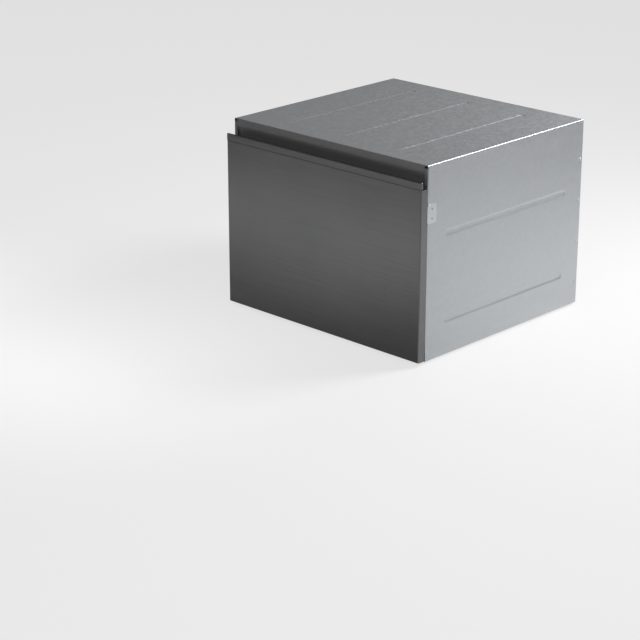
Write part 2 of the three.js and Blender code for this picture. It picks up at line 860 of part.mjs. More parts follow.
// The pressed rail that carries the tub and the front on the inner runner.
function sideRail(side) {
  const web = sideRailFace - sideRailSheet / 2;
  const inward = tubRing(sideRailTop, 0).width + sideRailPlay;
  const low = sideRailBottom + sideRailSheet / 2;
  const high = sideRailTop - sideRailSheet / 2;
  const outline = foldedSheet(
    [[inward, low], [web, low], [web, high], [inward, high]].map(([x, z]) => [side * x, z]),
    sideRailSheet,
    1.4,
  );
  const front = doorBack + gap;
  const back = tubY + tubDepth / 2 - railBackset;
  const rail = extrudeY(outline, front, back);
  const tab = sideBlock(side, web - frontTab, web, front, front + sideRailSheet * 1.5, low, high);
  const holes = [];
  const pitch = (back - front) / (railSlots + 0.4);
  const [halfLength, halfHeight] = [railSlotLength / 2, railSlotHeight / 2];
  for (let k = 0; k < railSlots; k++) {
    const y = (front + back) / 2 + (k - (railSlots - 1) / 2) * pitch;
    const slot = chamferedRectangle(y - halfLength, y + halfLength, slideCentre - halfHeight,
      slideCentre + halfHeight, 4);
    holes.push(side > 0 ? extrudeX(slot, web - 2, web + 2) : extrudeX(slot, -web - 2, -web + 2));
  }
  return cut(joined([rail, tab]), holes);
}

// ---------------------------------------------------------------- drawer front

// The folded metal skin: a pan with round front edges, open at the back and at the top for the handle rail.
function frontSkin() {
  const half = overallWidth / 2;
  const edge = skinEdgeRadius;
  const plan = new THREE.Shape();
  plan.moveTo(half, doorBack);
  plan.lineTo(-half, doorBack);
  plan.absarc(-half + edge, frontFace + edge, edge, Math.PI, Math.PI * 1.5);
  plan.absarc(half - edge, frontFace + edge, edge, Math.PI * 1.5, Math.PI * 2);
  const outer = extrudeZ(plan, frontBottom, skinTop);
  const inner = block(-half + skinSheet, half - skinSheet, frontFace + skinSheet, doorBack + 1,
    frontBottom + skinSheet, skinTop + 1);
  return outer.subtract(inner);
}

// The handle rail: a strip flush with the skin, a rounded lip and a finger scoop behind it.
function handleRail() {
  const back = doorBack;
  const inside = frontFace + skinSheet + gap;
  const lipBack = frontFace + lipThickness;
  const shape = new THREE.Shape();
  shape.moveTo(back, railBottom);
  shape.lineTo(back, scoopFloor);
  shape.lineTo(lipBack + 5, scoopFloor);
  shape.quadraticCurveTo(lipBack, scoopFloor, lipBack, scoopFloor + 5);
  shape.lineTo(lipBack, frontTop - railEdgeRadius);
  shape.absarc(lipBack - railEdgeRadius, frontTop - railEdgeRadius, railEdgeRadius, 0, Math.PI / 2);
  shape.absarc(frontFace + railEdgeRadius, frontTop - railEdgeRadius, railEdgeRadius, Math.PI / 2, Math.PI);
  shape.lineTo(frontFace, stripBottom);
  shape.lineTo(inside, stripBottom);
  shape.lineTo(inside, railBottom);
  const half = overallWidth / 2;
  const bar = extrudeX(shape, -half, half, 3);
  const shoulder = skinSheet + gap;
  const trims = [-1, 1].map((side) => sideBlock(side, half - shoulder, half + 1, frontFace - 1, back + 1,
    railBottom - 1, stripBottom));
  return cut(bar, trims);
}

// The moulded core behind the skin, with a grid of stiffening ribs on its back.
function frontCore() {
  const half = overallWidth / 2 - skinSheet - gap;
  const low = frontBottom + skinSheet + gap;
  const high = railBottom - gap;
  const front = frontFace + skinSheet + gap;
  const body = block(-half, half, front, doorBack, low, high);
  const pitchX = (2 * half - coreRib) / coreColumns;
  const pitchZ = (high - low - coreRib) / coreRows;
  const pockets = [];
  const floor = doorBack - corePocket;
  for (let i = 0; i < coreColumns; i++) {
    for (let k = 0; k < coreRows; k++) {
      const x = -half + coreRib + i * pitchX;
      const z = low + coreRib + k * pitchZ;
      pockets.push(block(x, x + pitchX - coreRib, floor, doorBack + 1, z, z + pitchZ - coreRib));
    }
  }
  const screwPads = [-1, 1].map((side) => sideBlock(side, sideRailFace - frontTab - 2, sideRailFace,
    floor - 0.5, doorBack, sideRailBottom, sideRailTop));
  return joined([cut(body, pockets), ...screwPads]);
}

const controlFront = doorBack + gap;
const controlBack = rimFront - gap;
const controlMiddle = (controlFront + controlBack) / 2;
const buttonPlaces = [0, 1, 2, 3].map((k) => firstButton + k * buttonPitch);

// The hidden control strip on the top edge of the drawer, under the fascia when the drawer is shut.
function controlStrip() {
  const half = controlWidth / 2;
  const outline = roundedRectangle(-half, half, controlFront, controlBack, 3);
  const body = extrudeZ(outline, controlTop - controlHeight, controlTop, 3);
  const wellFloor = controlTop - buttonHeight - buttonSpring;
  const wells = buttonPlaces.map((x) => extrudeZ(buttonOutline(x, gap), wellFloor, controlTop + 1, 3));
  const recess = block(displayOffset - displayWidth / 2 - gap, displayOffset + displayWidth / 2 + gap,
    controlMiddle - displayDepth / 2 - gap, controlMiddle + displayDepth / 2 + gap,
    controlTop - displayThickness - gap, controlTop + 1);
  const hollow = block(-half + 6, half - 6, controlFront + 4, controlBack - 4,
    controlTop - controlHeight - 1, wellFloor - 3);
  return cut(body, [...wells, recess, hollow]);
}

function buttonOutline(x, grow) {
  const halfWidth = buttonWidth / 2 + grow;
  const halfDepth = buttonDepth / 2 + grow;
  return chamferedRectangle(x - halfWidth, x + halfWidth, controlMiddle - halfDepth, controlMiddle + halfDepth,
    2.5);
}

function button(x) {
  const top = controlTop + buttonProud;
  return extrudeZ(buttonOutline(x, 0), controlTop - buttonHeight, top, 3);
}

function displayWindow() {
  const half = displayWidth / 2;
  return block(displayOffset - half, displayOffset + half, controlMiddle - displayDepth / 2,
    controlMiddle + displayDepth / 2, controlTop - displayThickness, controlTop);
}

// ---------------------------------------------------------------- tub

// The tub's half sizes at a height, moved in from the outer face.
function tubRing(z, inset, extra = 0) {
  const share = (z - tubBottom) / tubHeight;
  const lean = tubDraft * (1 - share);
  return {
    width: tubWidth / 2 - lean - inset - extra,
    depth: tubDepth / 2 - lean - inset - extra,
    radius: Math.max(tubCornerRadius - inset - extra * 0.7, 4),
    z,
  };
}

// The y of the tub's inner front wall at a height.
const innerFront = (z) => tubY - tubRing(z, tubWall).depth;

function tub() {
  const under = rimTop - rimThickness;
  const rim = (z) => ({ width: rimHalfWidth, depth: rimHalfDepth, radius: tubCornerRadius + rimWidth, z });
  const shell = loft([
    tubRing(tubBottom, 0, tubFloorRadius),
    tubRing(tubBottom + tubFloorRadius * 0.3, 0, tubFloorRadius * 0.3),
    tubRing(tubBottom + tubFloorRadius, 0),
    tubRing(under, 0),
    rim(under),
    rim(rimTop),
    tubRing(rimTop, tubWall),
    tubRing(tubFloorTop + tubFloorRadius, tubWall),
    tubRing(tubFloorTop + tubFloorRadius * 0.3, tubWall, tubFloorRadius * 0.3),
    tubRing(tubFloorTop, tubWall, tubFloorRadius),
  ], 0, tubY);
  const ledgeBottom = sideRailTop + gap;
  const ledgeHalf = tubDepth / 2 - ledgeSetback;
  const ledges = [-1, 1].map((side) => sideBlock(side, tubRing(sideRailTop, 1).width, sideRailFace - gap,
    tubY - ledgeHalf, tubY + ledgeHalf, ledgeBottom, ledgeBottom + ledgeHeight));
  const wellFloor = tubFloorTop - basketDepth;
  const wellRadius = basketRadius + gap + 1;
  const well = cylinder(wellRadius + tubWall, basketOffset, tubY, wellFloor - tubWall, tubBottom + 1);
  const wellHollow = cylinder(wellRadius, basketOffset, tubY, wellFloor, tubFloorTop + 1);
  const opening = cylinder(motorNeckRadius + gap, 0, tubY, tubBottom - 5, tubFloorTop + 5, neckSides);
  const wellDrain = cylinder(wellDrainRadius, basketOffset, tubY, wellFloor - tubWall - 1, wellFloor + 1, 12);
  return cut(joined([shell, ...ledges, well, ...rackPads()]), [wellHollow, opening, wellDrain]);
}

// Four pads in the tub's corners, which the rack's lowest wires stand on.
function rackPads() {
  const top = rackFloor - wireRadius - gap;
  const pads = [];
  for (const x of [-1, 1]) {
    for (const y of [-1, 1]) {
      const cx = x * (rackWidth / 2 - rackBend - padInset);
      const cy = tubY + y * crossWirePitch * (crossWires - 1) / 2;
      const [halfLength, halfWidth] = [padLength / 2, padWidth / 2];
      pads.push(block(cx - halfLength, cx + halfLength, cy - halfWidth, cy + halfWidth, tubFloorTop - 1, top));
    }
  }
  return pads;
}

function washMotor() {
  const seat = tubBottom - gap;
  return turned([
    [0, motorBottom],
    [motorRadius - 6, motorBottom],
    [motorRadius, motorBottom + 5],
    [motorRadius, seat - 14],
    [motorFlangeRadius, seat - 6],
    [motorFlangeRadius, seat],
    [motorNeckRadius, seat],
    [motorNeckRadius, tubFloorTop + 0.5],
    [hubRadius, filterTop],
    [hubRadius, armBottom - gap],
    [spindleRadius, armBottom - gap],
    [spindleRadius, armTop - 4 - gap],
    [0, armTop - 4 - gap],
  ], 0, tubY, neckSides);
}

function heaterPlate() {
  const inner = motorNeckRadius + gap + 2;
  return turned([
    [inner, heaterBottom],
    [inner + heaterWidth, heaterBottom],
    [inner + heaterWidth, heaterBottom + heaterThickness - 1],
    [inner + heaterWidth - 1, heaterBottom + heaterThickness],
    [inner, heaterBottom + heaterThickness],
    [inner, heaterBottom],
  ], 0, tubY);
}

function filterPlate() {
  const inner = motorNeckRadius - 4;
  const disc = cylinder(filterRadius, 0, tubY, filterBottom, filterTop, 24);
  const centre = cylinder(inner, 0, tubY, filterBottom - 1, filterTop + 1, 20);
  const basketHole = cylinder(basketRadius + gap, basketOffset, tubY, filterBottom - 1, filterTop + 1);
  const slots = [];
  for (let k = 2; k < filterSlots - 1; k++) {
    const slot = new THREE.BoxGeometry(filterSlotLength, filterSlotWidth, filterSheet * 3);
    slot.translate(filterRadius - filterSlotInset - filterSlotLength / 2, 0, (filterBottom + filterTop) / 2);
    slot.rotateZ((k / filterSlots) * Math.PI * 2).translate(0, tubY, 0);
    slots.push(solid(slot));
  }
  return cut(disc, [centre, basketHole, ...slots]);
}

function filterBasket() {
  const bottom = tubFloorTop - basketDepth + gap;
  const top = filterTop + gap;
  const cup = turned([
    [0, bottom],
    [basketRadius - 2, bottom],
    [basketRadius - 0.5, bottom + 2],
    [basketRadius - 0.5, top],
    [basketRadius + 4, top],
    [basketRadius + 4, top + 1.5],
    [basketRadius - 2.5, top + 1.5],
    [basketRadius - 4, bottom + 2],
    [0, bottom + 2],
  ], basketOffset, tubY, 16);
  const reach = basketRadius - 2;
  const bar = block(basketOffset - reach, basketOffset + reach, tubY - 1.5, tubY + 1.5, top - 6, top + 4);
  return joined([cup, bar]);
}

// Two swept blades, each narrowing to a round tip, on a hub with a blind bore for the spindle.
function sprayArm() {
  const steps = 5;
  const upper = [];
  const lower = [];
  for (let k = 0; k <= steps; k++) {
    const share = k / steps;
    const x = 14 + (armRadius - armTipWidth / 2 - 14) * share;
    const middle = armSweep * Math.sin(share * Math.PI);
    const half = (armRootWidth * (1 - share) + armTipWidth * share) / 2;
    upper.push([x, middle + half]);
    lower.unshift([x, middle - half]);
  }
  const tip = [1, 2, 3].map((k) => {
    const angle = Math.PI / 2 - (k * Math.PI) / 4;
    return [armRadius - armTipWidth / 2 + Math.cos(angle) * armTipWidth / 2, Math.sin(angle) * armTipWidth / 2];
  });
  const settings = {
    depth: armThickness - 2 * armEdge, bevelThickness: armEdge, bevelSize: 2, bevelOffset: -2, bevelSegments: 1,
  };
  const blade = new THREE.ExtrudeGeometry(polygon([...lower, ...upper, ...tip]), settings);
  blade.translate(0, 0, armBottom + armEdge);
  const parts = [0, Math.PI].map((angle) => solid(blade.clone().rotateZ(angle).translate(0, tubY, 0)));
  parts.push(cylinder(hubRadius + 8, 0, tubY, armBottom, armTop, 18));
  for (let k = 0; k < jetCount; k++) {
    const side = k % 2 ? -1 : 1;
    const share = (k + 1) / (jetCount + 0.6);
    const x = side * armRadius * share;
    const y = tubY + side * armSweep * Math.sin(share * Math.PI) * 0.9;
    parts.push(cylinder(4, x, y, armTop - 2, armTop + 1.5, 6));
  }
  const bore = cylinder(spindleRadius + gap, 0, tubY, armBottom - 1, armTop - 4, 16);
  return joined(parts).subtract(bore);
}

// ---------------------------------------------------------------- rack and baskets

const rackHalfWidth = rackWidth / 2;
const rackHalfDepth = rackDepth / 2;
const ringHalfWidth = rackHalfWidth + rackFlare;
const ringHalfDepth = rackHalfDepth + rackFlare;
const crossWirePlaces = [];
for (let k = 0; k < crossWires; k++) crossWirePlaces.push(tubY + (k - (crossWires - 1) / 2) * crossWirePitch);
const longWirePlaces = [];
for (let k = 0; k < longWires; k++) longWirePlaces.push((k - (longWires - 1) / 2) * longWirePitch);
const tinePlaces = [];
for (let k = 0; k < tineRows; k++) tinePlaces.push(tineFirst + k * tinePitch);
const clipPlaces = [crossWirePlaces[0], crossWirePlaces[crossWires - 1]];
const sleeveOffset = crossWirePitch * (crossWires % 2 ? 1.5 : 1); // halfway between two cross wires

// Half of a closed loop of wire with rounded corners; the two halves run 1 mm past the middle.
function halfRing(halfWidth, halfDepth, z, end) {
  const past = -end;
  const corners = [
    v(-halfWidth, tubY + past, z),
    v(-halfWidth, tubY + end * halfDepth, z),
    v(halfWidth, tubY + end * halfDepth, z),
    v(halfWidth, tubY + past, z),
  ];
  return bentWire(corners, wireRadius, rackCornerRadius, 4, 4);
}

function dishRack() {
  const wires = [];
  for (const y of crossWirePlaces) {
    wires.push(bentWire([
      v(-ringHalfWidth, y, rackTop),
      v(-rackHalfWidth, y, rackFloor),
      v(rackHalfWidth, y, rackFloor),
      v(ringHalfWidth, y, rackTop),
    ], wireRadius, rackBend));
  }
  for (const x of longWirePlaces) {
    wires.push(bentWire([
      v(x, tubY - ringHalfDepth, rackTop),
      v(x, tubY - rackHalfDepth, longWireHeight),
      v(x, tubY + rackHalfDepth, longWireHeight),
      v(x, tubY + ringHalfDepth, rackTop),
    ], wireRadius, rackBend));
  }
  const middle = (rackFloor + rackTop) / 2;
  for (const [z, flare] of [[rackTop, rackFlare], [middle, rackFlare / 2 + 0.4]]) {
    for (const end of [-1, 1]) wires.push(halfRing(rackHalfWidth + flare, rackHalfDepth + flare, z, end));
  }
  const clips = [];
  const bores = [];
  for (const x of tinePlaces) {
    for (const y of clipPlaces) {
      clips.push(block(x - clipWidth / 2, x + clipWidth / 2, y - clipThickness / 2, y + clipThickness / 2,
        rackFloor - 1, rackFloor - 1 + clipHeight));
      bores.push(cylinderY(tineRadius + gap, x, spineHeight, y - clipThickness, y + clipThickness, 6));
    }
  }
  return cut(joined([...wires, ...clips]), bores);
}

// A folding row of tines on a spine that turns in the rack's clips.
function tineRow(x) {
  const reach = (clipPlaces[1] - clipPlaces[0]) / 2 + clipThickness;
  const parts = [cylinderY(tineRadius, x, spineHeight, tubY - reach, tubY + reach, 5)];
  for (let k = 0; k < tinesPerRow; k++) {
    const y = tubY + (k - (tinesPerRow - 1) / 2) * tineSpacing;
    const tip = spineHeight + tineLength;
    const profile = [[0, spineHeight], [tineRadius, spineHeight], [tineRadius * 0.8, tip], [0, tip]];
    parts.push(turned(profile, x, y, 4));
  }
  return joined(parts);
}

// A slotted shelf that clips on the rack's top wire by two sleeves and folds up on it.
function cupRack(side) {
  const axis = side * ringHalfWidth;
  const near = axis - side * (wireRadius + gap + cupRackWall);
  const far = axis - side * cupRackDepth;
  const [x0, x1] = [Math.min(near, far), Math.max(near, far)];
  const [y0, y1] = [tubY - cupRackLength / 2, tubY + cupRackLength / 2];
  const outline = roundedRectangle(x0, x1, y0, y1, 6);
  const pitch = (cupRackLength - 2 * cupRackEnd) / cupRackSlots;
  const [holeStart, holeEnd] = [x0 + cupRackFrame, x1 - cupRackFrame];
  for (let k = 0; k < cupRackSlots; k++) {
    const slotFront = y0 + cupRackEnd + k * pitch + cupRackBar / 2;
    const slotBack = slotFront + pitch - cupRackBar;
    const hole = new THREE.Path();
    hole.moveTo(holeStart, slotFront);
    hole.lineTo(holeStart, slotBack);
    hole.lineTo(holeEnd, slotBack);
    hole.lineTo(holeEnd, slotFront);
    outline.holes.push(hole);
  }
  const shelf = extrudeZ(outline, rackTop - cupRackThickness / 2, rackTop + cupRackThickness / 2, 3);
  const edge = far + side * cupRackWall;
  const lip = block(Math.min(far, edge), Math.max(far, edge), y0 + cupRackEnd, y1 - cupRackEnd, rackTop - 1,
    rackTop + cupRackLip);
  const sleeves = [-1, 1].map((end) => {
    const y = tubY + end * sleeveOffset;
    return cylinderY(sleeveRadius, axis, rackTop, y - sleeveLength / 2, y + sleeveLength / 2, 10);
  });
  const bores = [-1, 1].map((end) => {
    const y = tubY + end * sleeveOffset;
    return cylinderY(wireRadius + gap, axis, rackTop, y - sleeveLength, y + sleeveLength, 8);
  });
  return cut(joined([shelf, lip, ...sleeves]), bores);
}

function cutleryBasket() {
  const [x0, x1] = [cutleryPosition - cutleryWidth / 2, cutleryPosition + cutleryWidth / 2];
  const [y0, y1] = [tubY - cutleryLength / 2, tubY + cutleryLength / 2];
  const top = cutleryTop;
  const body = extrudeZ(roundedRectangle(x0, x1, y0, y1, 5), cutleryBottom, top, 3);
  const cell = (cutleryLength - cutleryWall) / cutleryCells;
  const cuts = [];
  for (let k = 0; k < cutleryCells; k++) {
    const front = y0 + cutleryWall + k * cell;
    cuts.push(block(x0 + cutleryWall, x1 - cutleryWall, front, front + cell - cutleryWall,
      cutleryBottom + cutleryWall, top + 1));
    for (const share of [0.3, 0.7]) {
      const y = front + (cell - cutleryWall) * share;
      cuts.push(block(x0 + handleGrip, x1 - handleGrip, y - cutleryFloorSlot / 2, y + cutleryFloorSlot / 2,
        cutleryBottom - 1, cutleryBottom + cutleryWall + 1));
    }
  }
  const pitch = (cutleryLength - 16) / cutlerySlots;
  for (let k = 0; k < cutlerySlots; k++) {
    const y = y0 + 8 + (k + 0.5) * pitch;
    cuts.push(block(x0 - 1, x1 + 1, y - pitch * 0.3, y + pitch * 0.3, cutleryBottom + cutleryBand,
      top - cutleryBand));
  }
  const half = handleWall / 2;
  const crossbar = block(x0 + 0.5, x1 - 0.5, tubY - half, tubY + half, top - handleRise - 4, top + handleRise);
  const grip = roundedRectangle(x0 + handleGrip * 1.5, x1 - handleGrip * 1.5, top - handleGrip,
    top + handleRise - 6, 6);
  return cut(body, cuts).add(crossbar).subtract(extrudeY(grip, tubY - handleWall, tubY + handleWall, 3));
}

// ---------------------------------------------------------------- dispenser

const dispenserTop = rimTop - dispenserDrop;
const dispenserBottom = dispenserTop - dispenserHeight;
const dispenserFace = innerFront(dispenserTop) + gap + dispenserDepth;
const cupMiddle = (dispenserTop + dispenserBottom) / 2 + 2;
const cupLow = cupMiddle - cupHeight / 2;
const cupHigh = cupMiddle + cupHeight / 2;
const flapAxis = dispenserFace + gap + knuckleRadius;
const flapHeight = cupLow - flapOverlap - knuckleRadius;

function detergentDispenser() {
  const backLow = innerFront(dispenserBottom) + gap;
  const backHigh = innerFront(dispenserTop) + gap;
  const profile = polygon([
    [backHigh, dispenserTop],
    [backLow, dispenserBottom],
    [dispenserFace - 6, dispenserBottom],
    [dispenserFace, dispenserBottom + 6],
    [dispenserFace, dispenserTop - 6],
    [dispenserFace - 6, dispenserTop],
  ].reverse());
  const half = dispenserWidth / 2;
  const body = extrudeX(profile, -half, half);
  const mouth = roundedRectangle(cupOffset - cupWidth / 2, cupOffset + cupWidth / 2, cupLow, cupHigh, 6);
  const cup = extrudeY(mouth, dispenserFace - cupDepth, dispenserFace + 1, 3);
  const rinse = cylinderY(rinseRadius + gap, rinseOffset, cupMiddle, dispenserFace - rinseDepth - gap,
    dispenserFace + 1, 20);
  return cut(body, [cup, rinse]);
}

function detergentFlap() {
  const half = cupWidth / 2 + flapOverlap;
  const plate = extrudeY(
    roundedRectangle(cupOffset - half, cupOffset + half, flapHeight - 1, cupHigh + flapOverlap, 4),
    flapAxis - flapThickness / 2,
    flapAxis + flapThickness / 2,
    3,
  );
  const knuckle = cylinderX(knuckleRadius, flapAxis, flapHeight, cupOffset - half, cupOffset + half, 12);
  const grip = block(cupOffset - 12, cupOffset + 12, flapAxis + 1, flapAxis + 5, cupHigh - 2, cupHigh + 1);
  return joined([plate, knuckle, grip]);
}

function rinseCap() {
  const face = dispenserFace - rinseDepth;
  const disc = cylinderY(rinseRadius, rinseOffset, cupMiddle, face, dispenserFace + 1, 20);
  const reach = rinseRadius - 3;
  const bar = block(rinseOffset - reach, rinseOffset + reach, dispenserFace, dispenserFace + 6, cupMiddle - 2.5,
    cupMiddle + 2.5);
  return joined([disc, bar]);
}

// ---------------------------------------------------------------- lid

const lidHalf = rimHalfWidth - lidSetback;
const lidFront = rimFront + lidSetback;
const lidBack = rimBack - lidSetback;
const yokeInner = lidHalf - 10;
const yokeOuter = chassisInner - gap - actuatorDepth / 2 + yokePost / 2;
const yokeTop = lidTop + gap + yokePost + yokeHeight;
const actuatorBottom = lidTop + gap + yokePost + 1.5;
const actuatorTop = chassisCeiling - beadDepth - gap;

function lid() {
  const outline = roundedRectangle(-lidHalf, lidHalf, lidFront, lidBack, tubCornerRadius);
  const pitchX = (2 * (lidHalf - lidBorder) + lidRib) / lidColumns;
  const pitchY = (lidBack - lidFront - 2 * lidBorder + lidRib) / lidRows;
  const pockets = [];
  for (let i = 0; i < lidColumns; i++) {
    for (let k = 0; k < lidRows; k++) {
      const x = -lidHalf + lidBorder + i * pitchX;
      const y = lidFront + lidBorder + k * pitchY;
      pockets.push(block(x, x + pitchX - lidRib, y, y + pitchY - lidRib, lidBottom + lidFloor, lidTop + 1));
    }
  }
  return cut(extrudeZ(outline, lidBottom, lidTop), pockets);
}

function lidSeal() {
  const outer = roundedRectangle(-lidHalf, lidHalf, lidFront, lidBack, tubCornerRadius);
  const innerHalf = lidHalf - sealWidth;
  const inner = roundedRectangle(-innerHalf, innerHalf, lidFront + sealWidth, lidBack - sealWidth,
    tubCornerRadius - sealWidth);
  return extrudeZ(outer, sealBottom, sealTop).subtract(extrudeZ(inner, sealBottom - 1, sealTop + 1));
}

// The yoke that hangs the lid's edge in its actuator: a foot on the lid and a post in the actuator's slot.
function lidYoke(side) {
  const base = lidTop + gap;
  const [front, back] = [tubY - yokeWidth / 2, tubY + yokeWidth / 2];
  const footPlate = sideBlock(side, yokeInner, yokeOuter, front, back, base, base + yokePost);
  const post = sideBlock(side, yokeOuter - yokePost, yokeOuter, front, back, base, yokeTop);
  return joined([footPlate, post]);
}

function lidActuator(side) {
  const outer = chassisInner - gap;
  const inner = outer - actuatorDepth;
  const half = actuatorLength / 2;
  const body = sideBlock(side, inner, outer, tubY - half, tubY + half, actuatorBottom, actuatorTop);
  const slot = sideBlock(side, yokeOuter - yokePost - gap, yokeOuter + gap, tubY - yokeWidth / 2 - gap,
    tubY + yokeWidth / 2 + gap, actuatorBottom - 1, actuatorTop + 1);
  const x = side * (outer - actuatorMotorRadius);
  const z = (actuatorBottom + actuatorTop) / 2;
  const radius = Math.min(actuatorMotorRadius, (actuatorTop - actuatorBottom) / 2);
  const motor = cylinderY(radius, x, z, tubY + half - 1, tubY + half + actuatorMotorLength, 16);
  return joined([body, motor]).subtract(slot);
}

// ---------------------------------------------------------------- electrics and brackets

function powerModule() {
  const x0 = chassisInner - gap - moduleWidth - moduleInset;
  const x1 = x0 + moduleWidth;
  const y1 = backFace - rearFlange - 4;
  const y0 = y1 - moduleDepth;
  const z0 = trayFloor + trayRibHeight + gap;
  const body = extrudeZ(roundedRectangle(x0, x1, y0, y1, 5), z0, z0 + moduleHeight, 3);
  const grooves = [];
  const pitch = (moduleWidth - 12) / moduleFins;
  for (let k = 0; k < moduleFins; k++) {
    const x = x0 + 8 + k * pitch;
    grooves.push(block(x, x + pitch * 0.5, y0 + 6, y1 - 6, z0 + moduleHeight - moduleFinDepth,
      z0 + moduleHeight + 1));
  }
  return cut(body, grooves);
}

function mountBracket(side) {
  const x0 = chassisSide + gap;
  const x1 = x0 + bracketSheet;
  const low = bracketCentre - bracketHeight / 2;
  const front = chassisFront;
  const outline = chamferedRectangle(front, front + bracketLength, low, low + bracketHeight, 4);
  const plate = side > 0 ? extrudeX(outline, x0, x1) : extrudeX(outline, -x1, -x0);
  const holes = [-1, 1].map((end) => {
    const z = bracketCentre + end * bracketHeight / 4;
    return cylinderX(bracketScrewRadius, front + bracketLength / 2, z, side * x0 - 4, side * x0 + 4, 10);
  });
  return cut(plate, holes);
}

// ---------------------------------------------------------------- finishes

const finish = (color, metalness, roughness) => ({ color, metalness, roughness });
const finishes = {
  darkSteel: finish(0x3b3b3d, 0.85, 0.38),
  galvanised: finish(0xa9adb0, 0.8, 0.5),
  brightSteel: finish(0xc4c7ca, 0.9, 0.3),
  zincSteel: finish(0xb4b8bc, 0.85, 0.4),
  darkPlastic: finish(0x2a2a2c, 0, 0.5),
  blackPlastic: finish(0x151516, 0, 0.45),
  greyPlastic: finish(0x8b9095, 0, 0.5),
  tubPlastic: finish(0xb9bdc1, 0, 0.4),
  whitePlastic: finish(0xe2e4e5, 0, 0.45),
  rubber: finish(0x1b1b1c, 0, 0.8),
  coatedWire: finish(0x75797d, 0.1, 0.45),
  display: finish(0x08090b, 0, 0.1),
};

const dishDrawer = new THREE.Group();

function add(name, body, look) {
  const mesh = new THREE.Mesh(geometryOf(body), new THREE.MeshStandardMaterial(finishes[look]));
  mesh.name = name;
  dishDrawer.add(mesh);
}

const sides = [['left', -1], ['right', 1]];

// Chassis
add('chassis_wrapper', wrapper(), 'galvanised');
add('rear_panel', rearPanel(), 'galvanised');
add('service_pocket', servicePocket(), 'blackPlastic');
add('base_tray', baseTray(), 'greyPlastic');
add('front_crossbeam', frontCrossbeam(), 'galvanised');
add('front_fascia', frontFascia(), 'darkPlastic');
add('inlet_valve', inletValve(), 'whitePlastic');
add('drain_spigot', spigot(connections.drain, drainRadius, drainBore, spigotShoulder, 3), 'greyPlastic');
add('mains_gland', mainsGland(), 'blackPlastic');
add('power_module', powerModule(), 'blackPlastic');
const footNames = ['front_left', 'front_right', 'rear_left', 'rear_right'];
footPlaces().forEach(([x, y], k) => add(`foot_${footNames[k]}`, foot(x, y), 'rubber'));

// Pairs, left and right
for (const [word, side] of sides) {
  add(`side_trim_${word}`, sideTrim(side), 'darkPlastic');
  add(`mount_bracket_${word}`, mountBracket(side), 'zincSteel');
  add(`runner_outer_${word}`, runnerOuter(side), 'zincSteel');
  add(`runner_middle_${word}`, runnerMiddle(side), 'zincSteel');
  add(`runner_inner_${word}`, runnerInner(side), 'zincSteel');
  add(`side_rail_${word}`, sideRail(side), 'galvanised');
  add(`lid_actuator_${word}`, lidActuator(side), 'greyPlastic');
  add(`lid_yoke_${word}`, lidYoke(side), 'whitePlastic');
  add(`cup_rack_${word}`, cupRack(side), 'greyPlastic');
}

// Lid
add('lid', lid(), 'greyPlastic');
add('lid_seal', lidSeal(), 'rubber');

// Drawer front
add('front_skin', frontSkin(), 'darkSteel');
add('handle_rail', handleRail(), 'darkSteel');
add('front_core', frontCore(), 'greyPlastic');
add('control_strip', controlStrip(), 'darkPlastic');
add('display_window', displayWindow(), 'display');
const buttonNames = ['power', 'programme', 'option', 'start'];
buttonPlaces.forEach((x, k) => add(`button_${buttonNames[k]}`, button(x), 'greyPlastic'));

// Tub and wash system
add('tub', tub(), 'tubPlastic');
add('wash_motor', washMotor(), 'blackPlastic');
add('heater_plate', heaterPlate(), 'brightSteel');
add('filter_plate', filterPlate(), 'brightSteel');
add('filter_basket', filterBasket(), 'whitePlastic');
add('spray_arm', sprayArm(), 'greyPlastic');
add('detergent_dispenser', detergentDispenser(), 'greyPlastic');
add('detergent_flap', detergentFlap(), 'whitePlastic');
add('rinse_cap', rinseCap(), 'blackPlastic');

// Rack
add('dish_rack', dishRack(), 'coatedWire');
add('cutlery_basket', cutleryBasket(), 'greyPlastic');
tinePlaces.forEach((x, k) => add(`tine_row_${k + 1}`, tineRow(x), 'coatedWire'));

export default dishDrawer;
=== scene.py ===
import bmesh
import bpy
import json
import math
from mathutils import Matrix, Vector

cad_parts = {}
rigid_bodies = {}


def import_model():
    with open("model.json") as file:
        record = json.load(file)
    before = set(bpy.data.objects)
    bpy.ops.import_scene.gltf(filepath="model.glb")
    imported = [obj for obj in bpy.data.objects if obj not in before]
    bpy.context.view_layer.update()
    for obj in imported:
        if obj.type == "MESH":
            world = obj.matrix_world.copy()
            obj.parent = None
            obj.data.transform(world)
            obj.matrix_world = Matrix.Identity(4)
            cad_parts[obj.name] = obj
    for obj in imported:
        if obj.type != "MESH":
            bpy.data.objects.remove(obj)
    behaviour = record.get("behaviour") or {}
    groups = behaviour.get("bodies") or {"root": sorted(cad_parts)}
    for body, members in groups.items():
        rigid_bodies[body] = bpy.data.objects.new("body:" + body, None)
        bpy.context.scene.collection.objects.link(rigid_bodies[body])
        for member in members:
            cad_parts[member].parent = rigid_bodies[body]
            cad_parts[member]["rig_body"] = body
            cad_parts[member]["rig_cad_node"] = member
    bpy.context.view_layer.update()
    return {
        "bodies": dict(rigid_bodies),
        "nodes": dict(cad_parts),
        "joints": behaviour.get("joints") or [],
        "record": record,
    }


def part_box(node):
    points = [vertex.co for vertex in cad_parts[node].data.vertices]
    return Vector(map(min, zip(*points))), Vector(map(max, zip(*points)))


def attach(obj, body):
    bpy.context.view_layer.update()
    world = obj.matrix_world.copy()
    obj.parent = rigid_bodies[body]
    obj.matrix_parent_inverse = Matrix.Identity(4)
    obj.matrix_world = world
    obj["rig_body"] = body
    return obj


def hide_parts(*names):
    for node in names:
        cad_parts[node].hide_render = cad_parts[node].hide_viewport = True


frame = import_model()

mm = 0.001
gap = 0.3 * mm  # left between pieces that touch


